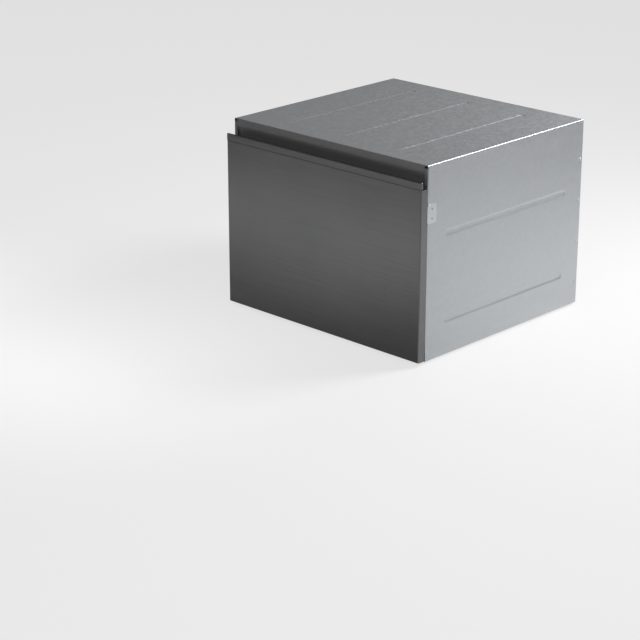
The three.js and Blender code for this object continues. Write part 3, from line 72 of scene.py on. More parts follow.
# selecting and editing, as by hand

def clearSelection():
    if bpy.context.object and bpy.context.object.mode != "OBJECT":
        bpy.ops.object.mode_set(mode="OBJECT")
    bpy.ops.object.select_all(action="DESELECT")


def pick(*pieces):
    clearSelection()
    for piece in pieces:
        piece.select_set(True)
    bpy.context.view_layer.objects.active = pieces[0]


def editFaces(piece, wanted):
    pick(piece)
    bpy.ops.object.mode_set(mode="EDIT")
    bpy.ops.mesh.select_mode(type="FACE")
    bpy.ops.mesh.select_all(action="DESELECT")
    mesh = bmesh.from_edit_mesh(piece.data)
    for face in mesh.faces:
        if wanted(face.calc_center_median(), face.normal):
            face.select_set(True)
    bmesh.update_edit_mesh(piece.data)


def editEdges(piece, wanted):
    pick(piece)
    bpy.ops.object.mode_set(mode="EDIT")
    bpy.ops.mesh.select_mode(type="EDGE")
    bpy.ops.mesh.select_all(action="DESELECT")
    mesh = bmesh.from_edit_mesh(piece.data)
    for edge in mesh.edges:
        if wanted(edge.verts[0].co, edge.verts[1].co):
            edge.select_set(True)
    bmesh.update_edit_mesh(piece.data)


def leaveEdit():
    bpy.ops.object.mode_set(mode="OBJECT")


def mendNormals(piece, merge=1e-6):
    pick(piece)
    bpy.ops.object.mode_set(mode="EDIT")
    bpy.ops.mesh.select_all(action="SELECT")
    bpy.ops.mesh.remove_doubles(threshold=merge)
    bpy.ops.mesh.normals_make_consistent(inside=False)
    leaveEdit()


def modify(piece, kind, **settings):
    pick(piece)
    modifier = piece.modifiers.new(kind.lower(), kind)
    for key, value in settings.items():
        setattr(modifier, key, value)
    bpy.ops.object.modifier_apply(modifier=modifier.name)


def roundEdges(piece, width, segments=3, angle=35):
    modify(piece, "BEVEL", width=width, segments=segments, limit_method="ANGLE",
           angle_limit=math.radians(angle), harden_normals=False)


def smoothShade(piece, angle=35):
    pick(piece)
    bpy.ops.object.shade_smooth_by_angle(angle=math.radians(angle))


def joinAll(name, pieces):
    pick(*pieces)
    if len(pieces) > 1:
        bpy.ops.object.join()
    whole = bpy.context.object
    whole.name = name
    return whole


# shapes that several pieces start from

def box(name, lo, hi, edge=0.0, segments=2):
    clearSelection()
    lo, hi = Vector(lo), Vector(hi)
    bpy.ops.mesh.primitive_cube_add(size=1, location=(lo + hi) / 2)
    piece = bpy.context.object
    piece.name = name
    piece.scale = hi - lo
    bpy.ops.object.transform_apply(location=True, rotation=True, scale=True)
    if edge:
        roundEdges(piece, edge, segments)
    return piece


# a flat outline in the plane square to an axis, pulled along that axis
def pulled(name, points, axis, start, end):
    clearSelection()
    bpy.ops.mesh.primitive_circle_add(vertices=len(points), fill_type="NGON")
    piece = bpy.context.object
    piece.name = name
    for vertex, (a, b) in zip(piece.data.vertices, points):
        vertex.co = {"X": (start, a, b), "Y": (a, start, b), "Z": (a, b, start)}[axis]
    along = Vector([(end - start) * (axis == name) for name in "XYZ"])
    bpy.ops.object.mode_set(mode="EDIT")
    bpy.ops.mesh.select_all(action="SELECT")
    bpy.ops.mesh.extrude_region_move(TRANSFORM_OT_translate={"value": along})
    bpy.ops.mesh.select_all(action="SELECT")
    bpy.ops.mesh.normals_make_consistent(inside=False)
    leaveEdit()
    return piece


# a profile of (radius, distance along the axis) pairs, spun round the axis
def spun(name, profile, centre, axis="Z", steps=48, closed=False):
    clearSelection()
    bpy.ops.mesh.primitive_circle_add(vertices=len(profile), fill_type="NOTHING")
    piece = bpy.context.object
    piece.name = name
    turnAxis = Vector([float(axis == name) for name in "XYZ"])
    outward = Vector((0, 0, 1)) if axis == "X" else Vector((1, 0, 0))
    for vertex, (radius, along) in zip(piece.data.vertices, profile):
        vertex.co = Vector(centre) + outward * radius + turnAxis * along
    if not closed:
        first, last = piece.data.vertices[0].co.copy(), piece.data.vertices[-1].co.copy()
        editEdges(piece, lambda a, b: {tuple(a), tuple(b)} == {tuple(first), tuple(last)})
        bpy.ops.mesh.delete(type="EDGE")
    else:
        bpy.ops.object.mode_set(mode="EDIT")
    bpy.ops.mesh.select_all(action="SELECT")
    bpy.ops.mesh.spin(steps=steps, angle=math.tau, center=centre, axis=turnAxis)
    leaveEdit()
    mendNormals(piece)
    return piece


# a sheet of columns by rows whose points are placed by a rule
def gridSheet(name, columns, rows, place):
    clearSelection()
    bpy.ops.mesh.primitive_grid_add(x_subdivisions=columns, y_subdivisions=rows, size=1)
    piece = bpy.context.object
    piece.name = name
    for vertex in piece.data.vertices:
        column = round((vertex.co.x + 0.5) * columns)
        row = round((vertex.co.y + 0.5) * rows)
        vertex.co = place(column, row)
    return piece


def arc(cx, cy, radius, start, end, steps=6):
    points = []
    for k in range(steps + 1):
        angle = math.radians(start + (end - start) * k / steps)
        points.append((cx + math.cos(angle) * radius, cy + math.sin(angle) * radius))
    return points


def roundedRectangle(x0, x1, y0, y1, radius, steps=6):
    points = arc(x1 - radius, y0 + radius, radius, -90, 0, steps)
    points += arc(x1 - radius, y1 - radius, radius, 0, 90, steps)
    points += arc(x0 + radius, y1 - radius, radius, 90, 180, steps)
    points += arc(x0 + radius, y0 + radius, radius, 180, 270, steps)
    return points


# a line through corners, each rounded to the bend radius
def bentLine(corners, bend, steps=6):
    corners = [Vector(c) for c in corners]
    line = [corners[0]]
    for before, corner, after in zip(corners, corners[1:], corners[2:]):
        into = (before - corner).normalized() * bend + corner
        away = (after - corner).normalized() * bend + corner
        for k in range(steps + 1):
            t = k / steps
            line.append(into * (1 - t) ** 2 + corner * 2 * t * (1 - t) + away * t ** 2)
    line.append(corners[-1])
    return line


def wires(name, lines, radius, sides=8, loops=()):
    curve = bpy.data.curves.new(name, "CURVE")
    curve.dimensions = "3D"
    curve.bevel_depth = radius
    curve.bevel_resolution = max(0, sides // 2 - 2)
    curve.use_fill_caps = True
    for number, line in enumerate(lines):
        spline = curve.splines.new("POLY")
        spline.points.add(len(line) - 1)
        for point, place in zip(spline.points, line):
            point.co = (*place, 1)
        spline.use_cyclic_u = number in loops
    piece = bpy.data.objects.new(name, curve)
    bpy.context.scene.collection.objects.link(piece)
    pick(piece)
    bpy.ops.object.convert(target="MESH")
    return bpy.context.object


# a rod's half outline: a disc, a wall and a disc, with the rims rounded off
def capped(radius, start, end, edge):
    if not edge:
        return [(0, start), (radius, start), (radius, end), (0, end)]
    return [(0, start), (radius - edge, start), (radius - edge * 0.3, start + edge * 0.3), (radius, start + edge),
            (radius, end - edge), (radius - edge * 0.3, end - edge * 0.3), (radius - edge, end), (0, end)]


# a skin through rings of equally many points; closed joins the last ring to the first, caps shuts both ends
def ringLoft(name, rings, closed=False, caps=False):
    count, last = len(rings[0]), len(rings)
    skin = gridSheet(name, count, last if closed else last - 1, lambda i, k: rings[k % last][i % count])
    mendNormals(skin, 1e-7)
    if caps:
        pick(skin)
        bpy.ops.object.mode_set(mode="EDIT")
        bpy.ops.mesh.select_mode(type="EDGE")
        bpy.ops.mesh.select_all(action="DESELECT")
        bpy.ops.mesh.select_non_manifold()
        bpy.ops.mesh.edge_face_add()
        leaveEdit()
        mendNormals(skin, 1e-7)
    return skin


# a flat sheet folded along a line of corners, then pulled along an axis
def foldedStrip(name, corners, bend, thickness, axis, start, end):
    line = bentLine([(a, b, 0) for a, b in corners], bend, 5)
    ends = (start, end)

    def place(i, k):
        a, b = line[i].x, line[i].y
        return {"X": (ends[k], a, b), "Y": (a, ends[k], b)}[axis]

    strip = gridSheet(name, len(line) - 1, 1, place)
    modify(strip, "SOLIDIFY", thickness=thickness, offset=0, use_even_offset=True)
    mendNormals(strip)
    roundEdges(strip, 0.12 * mm, 1, 60)
    return strip


def cut(piece, cutter):
    mendNormals(cutter)
    modify(piece, "BOOLEAN", operation="DIFFERENCE", object=cutter, solver="EXACT")
    bpy.data.objects.remove(cutter)


# shader maths

class Socket:
    def __init__(self, tree, link=None):
        self.tree = tree
        self.link = link

    def node(self, kind, settings=None, values=None, output=0):
        made = self.tree.nodes.new(kind)
        for key, value in (settings or {}).items():
            if key == "stops":
                ramp = made.color_ramp
                while len(ramp.elements) < len(value):
                    ramp.elements.new(0.5)
                for element, (place, shade) in zip(ramp.elements, value):
                    element.position = place
                    element.color = (shade, shade, shade, 1)
            else:
                setattr(made, key, value)
        for key, value in (values or {}).items():
            self.feed(made.inputs[key], value)
        return Socket(self.tree, made.outputs[output])

    def feed(self, target, value):
        if isinstance(value, Socket):
            self.tree.links.new(value.link, target)
        else:
            target.default_value = value

    def maths(self, operation, *values):
        return self.node("ShaderNodeMath", {"operation": operation}, dict(enumerate(values)))

    def __add__(self, other):
        return self.maths("ADD", self, other)

    def __radd__(self, other):
        return self.maths("ADD", other, self)

    def __sub__(self, other):
        return self.maths("SUBTRACT", self, other)

    def __rsub__(self, other):
        return self.maths("SUBTRACT", other, self)

    def __mul__(self, other):
        return self.maths("MULTIPLY", self, other)

    def __rmul__(self, other):
        return self.maths("MULTIPLY", other, self)

    def vectors(self, operation, *values):
        return self.node("ShaderNodeVectorMath", {"operation": operation}, dict(enumerate(values)))

    def noise(self, scale, detail=3.0, roughness=0.5, stretch=(1, 1, 1), output=0):
        place = self.node("ShaderNodeMapping", {}, {"Vector": self, "Scale": stretch})
        values = {"Vector": place, "Scale": scale, "Detail": detail, "Roughness": roughness}
        return self.node("ShaderNodeTexNoise", {}, values, output)

    def shades(self, dark, light, factor):
        values = {"Factor": factor, "A": (*dark, 1), "B": (*light, 1)}
        made = self.tree.nodes.new("ShaderNodeMix")
        made.data_type = "RGBA"
        for key, value in values.items():
            sockets = [s for s in made.inputs if s.name == key and s.enabled]
            self.feed(sockets[0], value)
        return Socket(self.tree, [s for s in made.outputs if s.enabled][0])


def tinted(colour, share):
    return tuple(min(1.0, channel * share) for channel in colour)


# a new finish: its material, its shader, and a socket with the place on the piece
def newFinish(name, **numbers):
    material = bpy.data.materials.new(name)
    material.use_nodes = True
    tree = material.node_tree
    shader = tree.nodes["Principled BSDF"]
    for key, value in numbers.items():
        shader.inputs[key.replace("_", " ")].default_value = value
    place = Socket(tree).node("ShaderNodeTexCoord", output="Object")
    return material, shader, place


def bump(place, shader, height, strength, distance):
    values = {"Height": height, "Strength": strength, "Distance": distance}
    place.feed(shader.inputs["Normal"], place.node("ShaderNodeBump", {}, values))


# steel brushed along X; grain is the width of one scratch
def brushedSteel(name, colour, roughness, grain=0.36 * mm, contrast=0.10, metallic=1.0):
    material, shader, place = newFinish(name, Metallic=metallic, Anisotropic=0.55, Anisotropic_Rotation=0.25)
    scratches = place.noise(1.0, 4, 0.62, (7, 1 / grain, 1 / grain))
    longer = place.noise(1.0, 2, 0.6, (5, 0.14 / grain, 0.14 / grain))
    clouds = place.noise(9, 2)
    mix = scratches * 0.3 + longer * 0.5 + clouds * 0.2
    shade = place.shades(tinted(colour, 1 - contrast), tinted(colour, 1 + contrast), mix)
    place.feed(shader.inputs["Base Color"], shade)
    place.feed(shader.inputs["Roughness"], scratches * 0.12 + longer * 0.08 + (roughness - 0.1))
    bump(place, shader, scratches + longer, 0.10, 0.03 * mm)
    return material


# zinc spangle: crystals a few millimetres across, each a little lighter or darker
def galvanisedSteel(name, colour):
    material, shader, place = newFinish(name, Metallic=0.9)
    wobble = place.noise(90, 2, output="Color")
    moved = place.vectors("MULTIPLY_ADD", wobble, (0.006, 0.006, 0.006), place)
    crystals = place.node("ShaderNodeTexVoronoi", {}, {"Vector": moved, "Scale": 150, "Randomness": 1.0}, "Color")
    grey = place.node("ShaderNodeRGBToBW", {}, {"Color": crystals})
    frost = place.noise(900, 3)
    rolled = place.noise(1.0, 3, 0.5, (60, 2.2, 60))
    mix = grey * 0.5 + frost * 0.3 + rolled * 0.2
    place.feed(shader.inputs["Base Color"], place.shades(tinted(colour, 0.90), tinted(colour, 1.10), mix))
    place.feed(shader.inputs["Roughness"], grey * 0.10 + frost * 0.10 + 0.36)
    bump(place, shader, grey * 0.5 + frost * 0.5, 0.05, 0.05 * mm)
    return material


def zincPlate(name, colour):
    material, shader, place = newFinish(name, Metallic=0.95)
    drawn = place.noise(1.0, 4, 0.6, (900, 9, 900))
    haze = place.noise(22, 3)
    mix = drawn * 0.5 + haze * 0.5
    place.feed(shader.inputs["Base Color"], place.shades(tinted(colour, 0.86), tinted(colour, 1.12), mix))
    place.feed(shader.inputs["Roughness"], drawn * 0.1 + haze * 0.14 + 0.24)
    bump(place, shader, drawn, 0.07, 0.04 * mm)
    return material


# moulded plastic with an eroded texture of the given grain
def mouldedPlastic(name, colour, roughness=0.45, grain=0.45 * mm, relief=0.25, tone=0.05):
    material, shader, place = newFinish(name)
    pits = place.noise(1 / grain, 2, 0.55)
    flow = place.noise(6, 3)
    place.feed(shader.inputs["Base Color"],
               place.shades(tinted(colour, 1 - tone), tinted(colour, 1 + tone), flow * 0.7 + pits * 0.3))
    place.feed(shader.inputs["Roughness"], pits * 0.12 + flow * 0.08 + (roughness - 0.1))
    bump(place, shader, pits, relief, 0.06 * mm)
    return material


def mouldedRubber(name, colour):
    material, shader, place = newFinish(name, Specular_IOR_Level=0.35)
    dust = place.noise(260, 4)
    patches = place.noise(18, 3)
    place.feed(shader.inputs["Base Color"], place.shades(colour, tinted(colour, 2.0), dust * 0.4 + patches * 0.3))
    place.feed(shader.inputs["Roughness"], patches * 0.16 + dust * 0.08 + 0.6)
    bump(place, shader, dust, 0.2, 0.08 * mm)
    return material


def nylonCoat(name, colour):
    material, shader, place = newFinish(name, Coat_Weight=0.15, Coat_Roughness=0.3)
    orange = place.noise(520, 2, 0.4)  # the soft ripple of a dipped coat
    flow = place.noise(12, 2)
    place.feed(shader.inputs["Base Color"], place.shades(tinted(colour, 0.92), tinted(colour, 1.08), flow))
    place.feed(shader.inputs["Roughness"], orange * 0.12 + 0.34)
    bump(place, shader, orange, 0.25, 0.12 * mm)
    return material


def displayGlass(name, colour):
    material, shader, place = newFinish(name, Coat_Weight=1.0, Coat_Roughness=0.03)
    film = place.noise(60, 2)
    place.feed(shader.inputs["Base Color"], place.shades(colour, tinted(colour, 1.8), film))
    place.feed(shader.inputs["Roughness"], film * 0.05 + 0.06)
    return material


finishes = {
    "dark_steel": brushedSteel("brushed dark steel", (0.145, 0.145, 0.148), 0.24, contrast=0.3),
    "bright_steel": brushedSteel("satin steel", (0.55, 0.56, 0.57), 0.32, contrast=0.08),
    "galvanised": galvanisedSteel("galvanised sheet", (0.42, 0.435, 0.45)),
    "zinc_steel": zincPlate("zinc plate", (0.50, 0.52, 0.54)),
    "dark_plastic": mouldedPlastic("dark plastic", (0.13, 0.13, 0.134), 0.40),
    "black_plastic": mouldedPlastic("black plastic", (0.010, 0.010, 0.011), 0.46, tone=0.12),
    "grey_plastic": mouldedPlastic("grey plastic", (0.25, 0.275, 0.295), 0.46),
    "tub_plastic": mouldedPlastic("tub plastic", (0.47, 0.50, 0.52), 0.32, relief=0.08, tone=0.03),
    "white_plastic": mouldedPlastic("white plastic", (0.74, 0.75, 0.75), 0.42, tone=0.03),
    "rubber": mouldedRubber("black rubber", (0.011, 0.011, 0.012)),
    "coated_wire": nylonCoat("nylon coat", (0.19, 0.20, 0.215)),
    "display": displayGlass("display glass", (0.004, 0.004, 0.005)),
}
slotOf = {part["node"]: part["material_slot"] for part in frame["record"]["subparts"]}
bodyOf = {node: body for body, nodes in frame["record"]["behaviour"]["bodies"].items() for node in nodes}
for name, node in frame["nodes"].items():
    for place in node.material_slots:
        place.material = finishes[slotOf[name]]
print("finishes:", len(finishes))


# a finished piece gets its material, stands for its CAD node and rides with it
def dress(piece, node, angle=35, stands=True, slot=None):
    slot = slot or slotOf[node]
    piece.data.materials.clear()
    piece.data.materials.append(finishes[slot])
    smoothShade(piece, angle)
    modify(piece, "WEIGHTED_NORMAL", keep_sharp=True)  # flat faces stay flat beside their rounded edges
    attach(piece, bodyOf[node])
    if stands:
        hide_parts(node)
    return piece


# a merged copy of a CAD node with its sharp edges rounded
def copyOf(node, name, edge, segments=2, angle=40):
    source = frame["nodes"][node]
    piece = source.copy()
    piece.data = source.data.copy()
    piece.name = name
    piece.parent = None
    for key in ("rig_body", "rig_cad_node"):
        if key in piece:
            del piece[key]
    bpy.context.scene.collection.objects.link(piece)
    pick(piece)
    bpy.ops.object.mode_set(mode="EDIT")
    bpy.ops.mesh.select_all(action="SELECT")
    bpy.ops.mesh.remove_doubles(threshold=5e-6)
    bpy.ops.mesh.dissolve_limited(angle_limit=math.radians(1.0))
    leaveEdit()
    if edge:
        modify(piece, "BEVEL", width=edge, segments=segments, limit_method="ANGLE",
               angle_limit=math.radians(angle), use_clamp_overlap=True)
    return piece


# drawer front

def makeFrontSkin():
    skin = dict(sheet=1 * mm, edgeRadius=2.5 * mm, lowerRadius=1.2 * mm, softEdge=0.25 * mm)
    lo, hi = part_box("front_skin")
    piece = box("frontSkin", lo, hi)
    editFaces(piece, lambda centre, normal: normal.y > 0.9 or normal.z > 0.9)
    bpy.ops.mesh.delete(type="FACE")
    front = lo.y + 1e-5
    editEdges(piece, lambda a, b: a.y < front and b.y < front and abs(a.x - b.x) < 1e-6)
    bpy.ops.mesh.bevel(offset=skin["edgeRadius"], segments=8)
    editEdges(piece, lambda a, b: a.z < lo.z + 1e-5 and b.z < lo.z + 1e-5 and min(a.y, b.y) < hi.y - 1e-5
              and not (abs(a.x - b.x) < 1e-6 and abs(a.y - b.y) > 5 * mm))
    bpy.ops.mesh.bevel(offset=skin["lowerRadius"], segments=4)
    leaveEdit()
    mendNormals(piece)
    modify(piece, "SOLIDIFY", thickness=skin["sheet"], offset=-1, use_even_offset=True)
    roundEdges(piece, skin["softEdge"], 2, 50)
    return dress(piece, "front_skin", 30)


def makeHandleRail():
    rail = dict(lip=6 * mm, crown=1.8 * mm, cove=5 * mm, end=0.8 * mm, seam=5 * mm, support=0.25 * mm)
    lo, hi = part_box("handle_rail")
    skinLow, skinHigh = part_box("front_skin")
    stripBottom = skinHigh.z + 0.8 * mm
    root = lo.y + rail["seam"]
    support = rail["support"]
    floor = lo.z + 10 * mm
    lipBack = lo.y + rail["lip"]
    crown = rail["crown"]
    outline = [(hi.y, stripBottom - 3 * mm)]
    outline += arc(lipBack + rail["cove"], floor + rail["cove"], rail["cove"], 270, 180, 8)
    outline += arc(lipBack - crown, hi.z - crown, crown, 0, 90, 6)
    outline += arc(lo.y + crown, hi.z - crown, crown, 90, 180, 6)
    outline += [(lo.y, hi.z - crown - support), (lo.y, stripBottom + 0.5 * mm + support)]
    outline += arc(lo.y + 0.5 * mm, stripBottom + 0.5 * mm, 0.5 * mm, 180, 270, 3)
    outline += [(root, stripBottom), (root, stripBottom - 3 * mm)]
    strip = pulled("handleRail", outline, "X", lo.x + 1.4 * mm, hi.x - 1.4 * mm)
    ends = []
    for side in (-1, 1):
        endOutline = [(hi.y, stripBottom)]
        endOutline += [(y, z) for y, z in outline[1:] if z >= stripBottom]
        start, end = sorted((side * (hi.x - 1.4 * mm), side * hi.x))
        cap = pulled("railEnd", endOutline, "X", start, end)
        editEdges(cap, lambda a, b: abs(abs(a.x) - hi.x) < 1e-6 and abs(abs(b.x) - hi.x) < 1e-6)
        bpy.ops.mesh.bevel(offset=rail["end"], segments=3)
        leaveEdit()
        ends.append(cap)
    foot = box("railFoot", (lo.x + 1.3 * mm, root, lo.z), (hi.x - 1.3 * mm, hi.y, floor), 0.3 * mm)
    piece = joinAll("handleRail", [strip, foot, *ends])
    return dress(piece, "handle_rail", 40)


# the dark band over the drawer, with a curved face that leans back
def makeFascia():
    fascia = dict(band=7 * mm, wall=2.5 * mm, scoop=8 * mm, step=0.4 * mm, lip=11 * mm, edge=0.5 * mm)
    lo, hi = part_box("front_fascia")
    wall = fascia["wall"]
    sideWidth = 8.5 * mm
    bars = [
        box("fasciaBand", (lo.x, lo.y, hi.z - fascia["band"]), (hi.x, lo.y + wall, hi.z), fascia["edge"], 3),
        box("fasciaPost", (lo.x, lo.y, lo.z), (lo.x + sideWidth, lo.y + wall, hi.z - 1 * mm), fascia["edge"], 3),
        box("fasciaPost", (hi.x - sideWidth, lo.y, lo.z), (hi.x, lo.y + wall, hi.z - 1 * mm), fascia["edge"], 3),
    ]
    high, low = hi.z - fascia["band"], lo.z + wall / 2
    start, deep = lo.y + wall / 2 + fascia["step"], lo.y + fascia["scoop"]
    ends = [Vector((start, high)), Vector((start, high - 16 * mm)), Vector((deep, low + 20 * mm)), Vector((deep, low))]
    line = [Vector((start, high + 3 * mm))]
    for k in range(17):
        t = k / 16
        line.append(ends[0] * (1 - t) ** 3 + ends[1] * 3 * t * (1 - t) ** 2 + ends[2] * 3 * t ** 2 * (1 - t)
                    + ends[3] * t ** 3)
    line += [Vector(p) for p in arc(deep + 1.5 * mm, low + 0.6 * mm, 0.8 * mm, 200, 270, 4)]
    line.append(Vector((deep + fascia["lip"], low)))
    half = hi.x - 1.5 * mm
    scoop = gridSheet("fasciaScoop", len(line) - 1, 1,
                      lambda i, k: ((2 * k - 1) * half, line[i].x, line[i].y))
    modify(scoop, "SOLIDIFY", thickness=wall, offset=0)
    mendNormals(scoop)
    roundEdges(scoop, 0.4 * mm, 2, 60)
    return dress(joinAll("frontFascia", [*bars, scoop]), "front_fascia", 35)


def makeSideTrims():
    for word in ("left", "right"):
        dress(copyOf(f"side_trim_{word}", f"sideTrim{word.capitalize()}", 0.35 * mm), f"side_trim_{word}", 35)


# chassis

wrap = dict(sheet=1.2 * mm, bend=2 * mm, flange=44 * mm, beadWidth=18 * mm, beadDepth=2 * mm,
            beadSetback=60 * mm, topBeads=(-0.170, 0, 0.170), sideBeads=(0.088, 0.290))


def makeWrapper():
    lo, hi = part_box("chassis_wrapper")
    half, bend = wrap["beadWidth"] / 2, wrap["bend"]
    across = [k / 8 * wrap["beadWidth"] - half for k in range(9)]
    stations = []  # x, z, the way in, the place along the face, and the beads on that face

    def face(points, inward, along, beads):
        for x, z in points:
            stations.append((x, z, inward, (x, z)[along], beads))

    def spread(start, end, beads):
        places = {start, end} | {bead + step for bead in beads for step in across}
        return sorted(places, reverse=start > end)[1:-1]

    edge = hi.x - wrap["flange"]
    sides, tops = wrap["sideBeads"], wrap["topBeads"]
    face([(-edge, lo.z)], (0, 1), 0, ())
    face(arc(lo.x + bend, lo.z + bend, bend, 270, 180, 4), (0, 0), 0, ())
    face([(lo.x, z) for z in spread(lo.z + bend, hi.z - bend, sides)], (1, 0), 1, sides)
    face(arc(lo.x + bend, hi.z - bend, bend, 180, 90, 4), (0, 0), 0, ())
    face([(x, hi.z) for x in spread(lo.x + bend, hi.x - bend, tops)], (0, -1), 0, tops)
    face(arc(hi.x - bend, hi.z - bend, bend, 90, 0, 4), (0, 0), 0, ())
    face([(hi.x, z) for z in spread(hi.z - bend, lo.z + bend, sides)], (-1, 0), 1, sides)
    face(arc(hi.x - bend, lo.z + bend, bend, 0, -90, 4), (0, 0), 0, ())
    face([(edge, lo.z)], (0, 1), 0, ())

    start, end = lo.y + wrap["beadSetback"], hi.y - wrap["beadSetback"]
    ends = [k / 8 * half for k in range(9)]
    lengths = [lo.y] + [start + step for step in ends] + [end - step for step in reversed(ends)] + [hi.y]

    def place(i, k):
        x, z, inward, along, beads = stations[i]
        y = lengths[k]
        past = max(start + half - y, y - (end - half), 0)
        reach = min([math.hypot(along - bead, past) / half for bead in beads] or [1])
        depth = wrap["beadDepth"] * min(1, max(0, 1 - reach) * 2.2)
        return x + inward[0] * depth, y, z + inward[1] * depth

    sheet = gridSheet("chassisWrapper", len(stations) - 1, len(lengths) - 1, place)
    modify(sheet, "SOLIDIFY", thickness=wrap["sheet"], offset=-1)
    mendNormals(sheet)
    dress(sheet, "chassis_wrapper", 40)


screw = dict(radius=3.6 * mm, height=1.3 * mm, socket=1.5 * mm, heights=(0.06, 0.16, 0.26, 0.36), setback=7 * mm)


# pan-head screws that hold the rear panel's flange through the wrapper's sides
def makeSideScrews():
    lo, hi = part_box("chassis_wrapper")
    heads = []
    r, h, s = screw["radius"], screw["height"], screw["socket"]
    for side in (-1, 1):
        for z in screw["heights"]:
            profile = [(0, h * 0.45), (s, h * 0.45), (s, h), (r * 0.7, h), (r * 0.93, h * 0.7), (r, h * 0.3), (r, 0.05 * mm)]
            profile = [(radius, side * along) for radius, along in profile]
            heads.append(spun("head", profile, (side * hi.x, hi.y - screw["setback"], z), "X", 20))
    dress(joinAll("sideScrews", heads), "chassis_wrapper", 40, stands=False, slot="zinc_steel")


foot = dict(flat=13.4 * mm, edge=1.6 * mm, groove=0.8 * mm, barb=6.2 * mm, stem=4 * mm, setback=45 * mm, inset=20.8 * mm)


def makeFeet():
    for name in ("front_left", "front_right", "rear_left", "rear_right"):
        lo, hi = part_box(f"foot_{name}")
        trayLow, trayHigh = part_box("base_tray")
        wrapLow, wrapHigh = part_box("chassis_wrapper")
        top = 4.7 * mm
        head = trayLow.z + 2.8 * mm
        flat, edge, groove = foot["flat"], foot["edge"], foot["groove"]
        profile = [(0, groove), (6 * mm, groove), (6.6 * mm, 0), (9.2 * mm, 0), (9.6 * mm, groove), (10.6 * mm, groove),
                   (11 * mm, 0)]
        profile += arc(flat, edge, edge, -90, 0, 5) + arc(flat, top - edge / 2, edge, 0, 60, 3)
        profile += [(flat - 2 * mm, top), (foot["stem"], top), (foot["stem"], head), (foot["barb"], head),
                    (foot["barb"], head + 0.6 * mm), (foot["stem"] - 1 * mm, head + 5 * mm), (0, head + 5 * mm)]
        y = wrapLow.y + foot["setback"] if "front" in name else wrapHigh.y - foot["setback"]
        centre = (math.copysign(trayHigh.x - foot["inset"], lo.x), y, 0)
        dress(spun("foot" + name.title().replace("_", ""), profile, centre, "Z", 40), f"foot_{name}", 35)


tray = dict(corner=6 * mm, wall=2.5 * mm, ribs=(-0.210, -0.070, 0.070, 0.210), crossRibs=(-0.15, 0.01, 0.17),
            ribHeight=6 * mm, rib=2 * mm)


def makeBaseTray():
    lo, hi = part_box("base_tray")
    outline = roundedRectangle(lo.x, hi.x, lo.y, hi.y, tray["corner"], 8)
    pan = pulled("baseTray", outline, "Z", lo.z, hi.z)
    editFaces(pan, lambda centre, normal: normal.z > 0.9)
    bpy.ops.mesh.inset(thickness=tray["wall"])
    bpy.ops.mesh.extrude_region_move(TRANSFORM_OT_translate={"value": (0, 0, lo.z + tray["wall"] - hi.z)})
    leaveEdit()
    roundEdges(pan, 0.5 * mm, 2, 60)
    ribs = []
    bottom, top, half = lo.z + 1 * mm, lo.z + tray["wall"] + tray["ribHeight"], tray["rib"] / 2
    for x in tray["ribs"]:
        ribs.append(box("rib", (x - half, lo.y + 1 * mm, bottom), (x + half, hi.y - 1 * mm, top), 0.4 * mm))
    for y in tray["crossRibs"]:
        ribs.append(box("rib", (lo.x + 40 * mm, y - half, bottom), (hi.x - 40 * mm, y + half, top - 2 * mm), 0.4 * mm))
    dress(joinAll("baseTray", [pan, *ribs]), "base_tray", 35)


beam = dict(sheet=1.2 * mm, bend=2.4 * mm)


def makeCrossbeam():
    lo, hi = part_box("front_crossbeam")
    inset = beam["sheet"] / 2
    corners = [(hi.y, lo.z + inset), (lo.y + inset, lo.z + inset), (lo.y + inset, hi.z - inset), (hi.y, hi.z - inset)]
    piece = foldedStrip("frontCrossbeam", corners, beam["bend"], beam["sheet"], "X", lo.x, hi.x)
    dress(piece, "front_crossbeam", 35)


rear = dict(sheet=1.2 * mm, louvreX=(-0.150, 0.150), louvreWidth=80 * mm, louvreHeight=5 * mm, pitch=14 * mm,
            lowest=0.300, rows=6, hood=5.5 * mm, bead=16 * mm)


# the flanged panel, with the hoods of its louvres pressed inwards
def makeRearPanel():
    lo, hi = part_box("rear_panel")
    pieces = [copyOf("rear_panel", "rearPanel", 0.3 * mm)]
    inside = hi.y - rear["sheet"]
    half = rear["louvreWidth"] / 2 - 0.2 * mm
    for x in rear["louvreX"]:
        for row in range(rear["rows"]):
            z = rear["lowest"] + row * rear["pitch"]

            def place(i, k):
                across = -1 + 2 * i / 16
                turn = k / 6 * math.pi / 2
                bulge = (1 - abs(across) ** 5) ** 0.5 if abs(across) < 1 else 0
                depth = rear["hood"] * bulge * math.sin(turn)
                return x + across * half, inside - depth, z + rear["louvreHeight"] * math.cos(turn) * 1.05

            hood = gridSheet("louvre", 16, 6, place)
            modify(hood, "SOLIDIFY", thickness=0.9 * mm, offset=0)
            mendNormals(hood)
            pieces.append(hood)
    dress(joinAll("rearPanel", pieces), "rear_panel", 40)
    heads = []
    for x in (-0.24, -0.08, 0.08, 0.24):
        for z in (0.034, 0.446):
            profile = [(0, -0.9 * mm), (1.4 * mm, -0.9 * mm), (1.4 * mm, -0.1 * mm), (2.6 * mm, -0.1 * mm),
                       (3.1 * mm, -0.5 * mm), (3.1 * mm, -1.2 * mm)]
            heads.append(spun("head", profile, (x, hi.y, z), "Y", 20))
    dress(joinAll("rearScrews", heads), "rear_panel", 40, stands=False, slot="zinc_steel")


spigots = dict(back=8 * mm, shoulder=3 * mm, wall=2 * mm, height=0.075)
inlet = dict(radius=13.2 * mm, bore=9 * mm, shoulder=3.5 * mm, threads=7, depth=1.1 * mm, coil=8 * mm, coilLength=34 * mm)
drain = dict(radius=9.5 * mm, bore=7.5 * mm, barbs=4)
gland = dict(radius=11 * mm, bore=4.2 * mm, dome=5 * mm, nut=14 * mm)


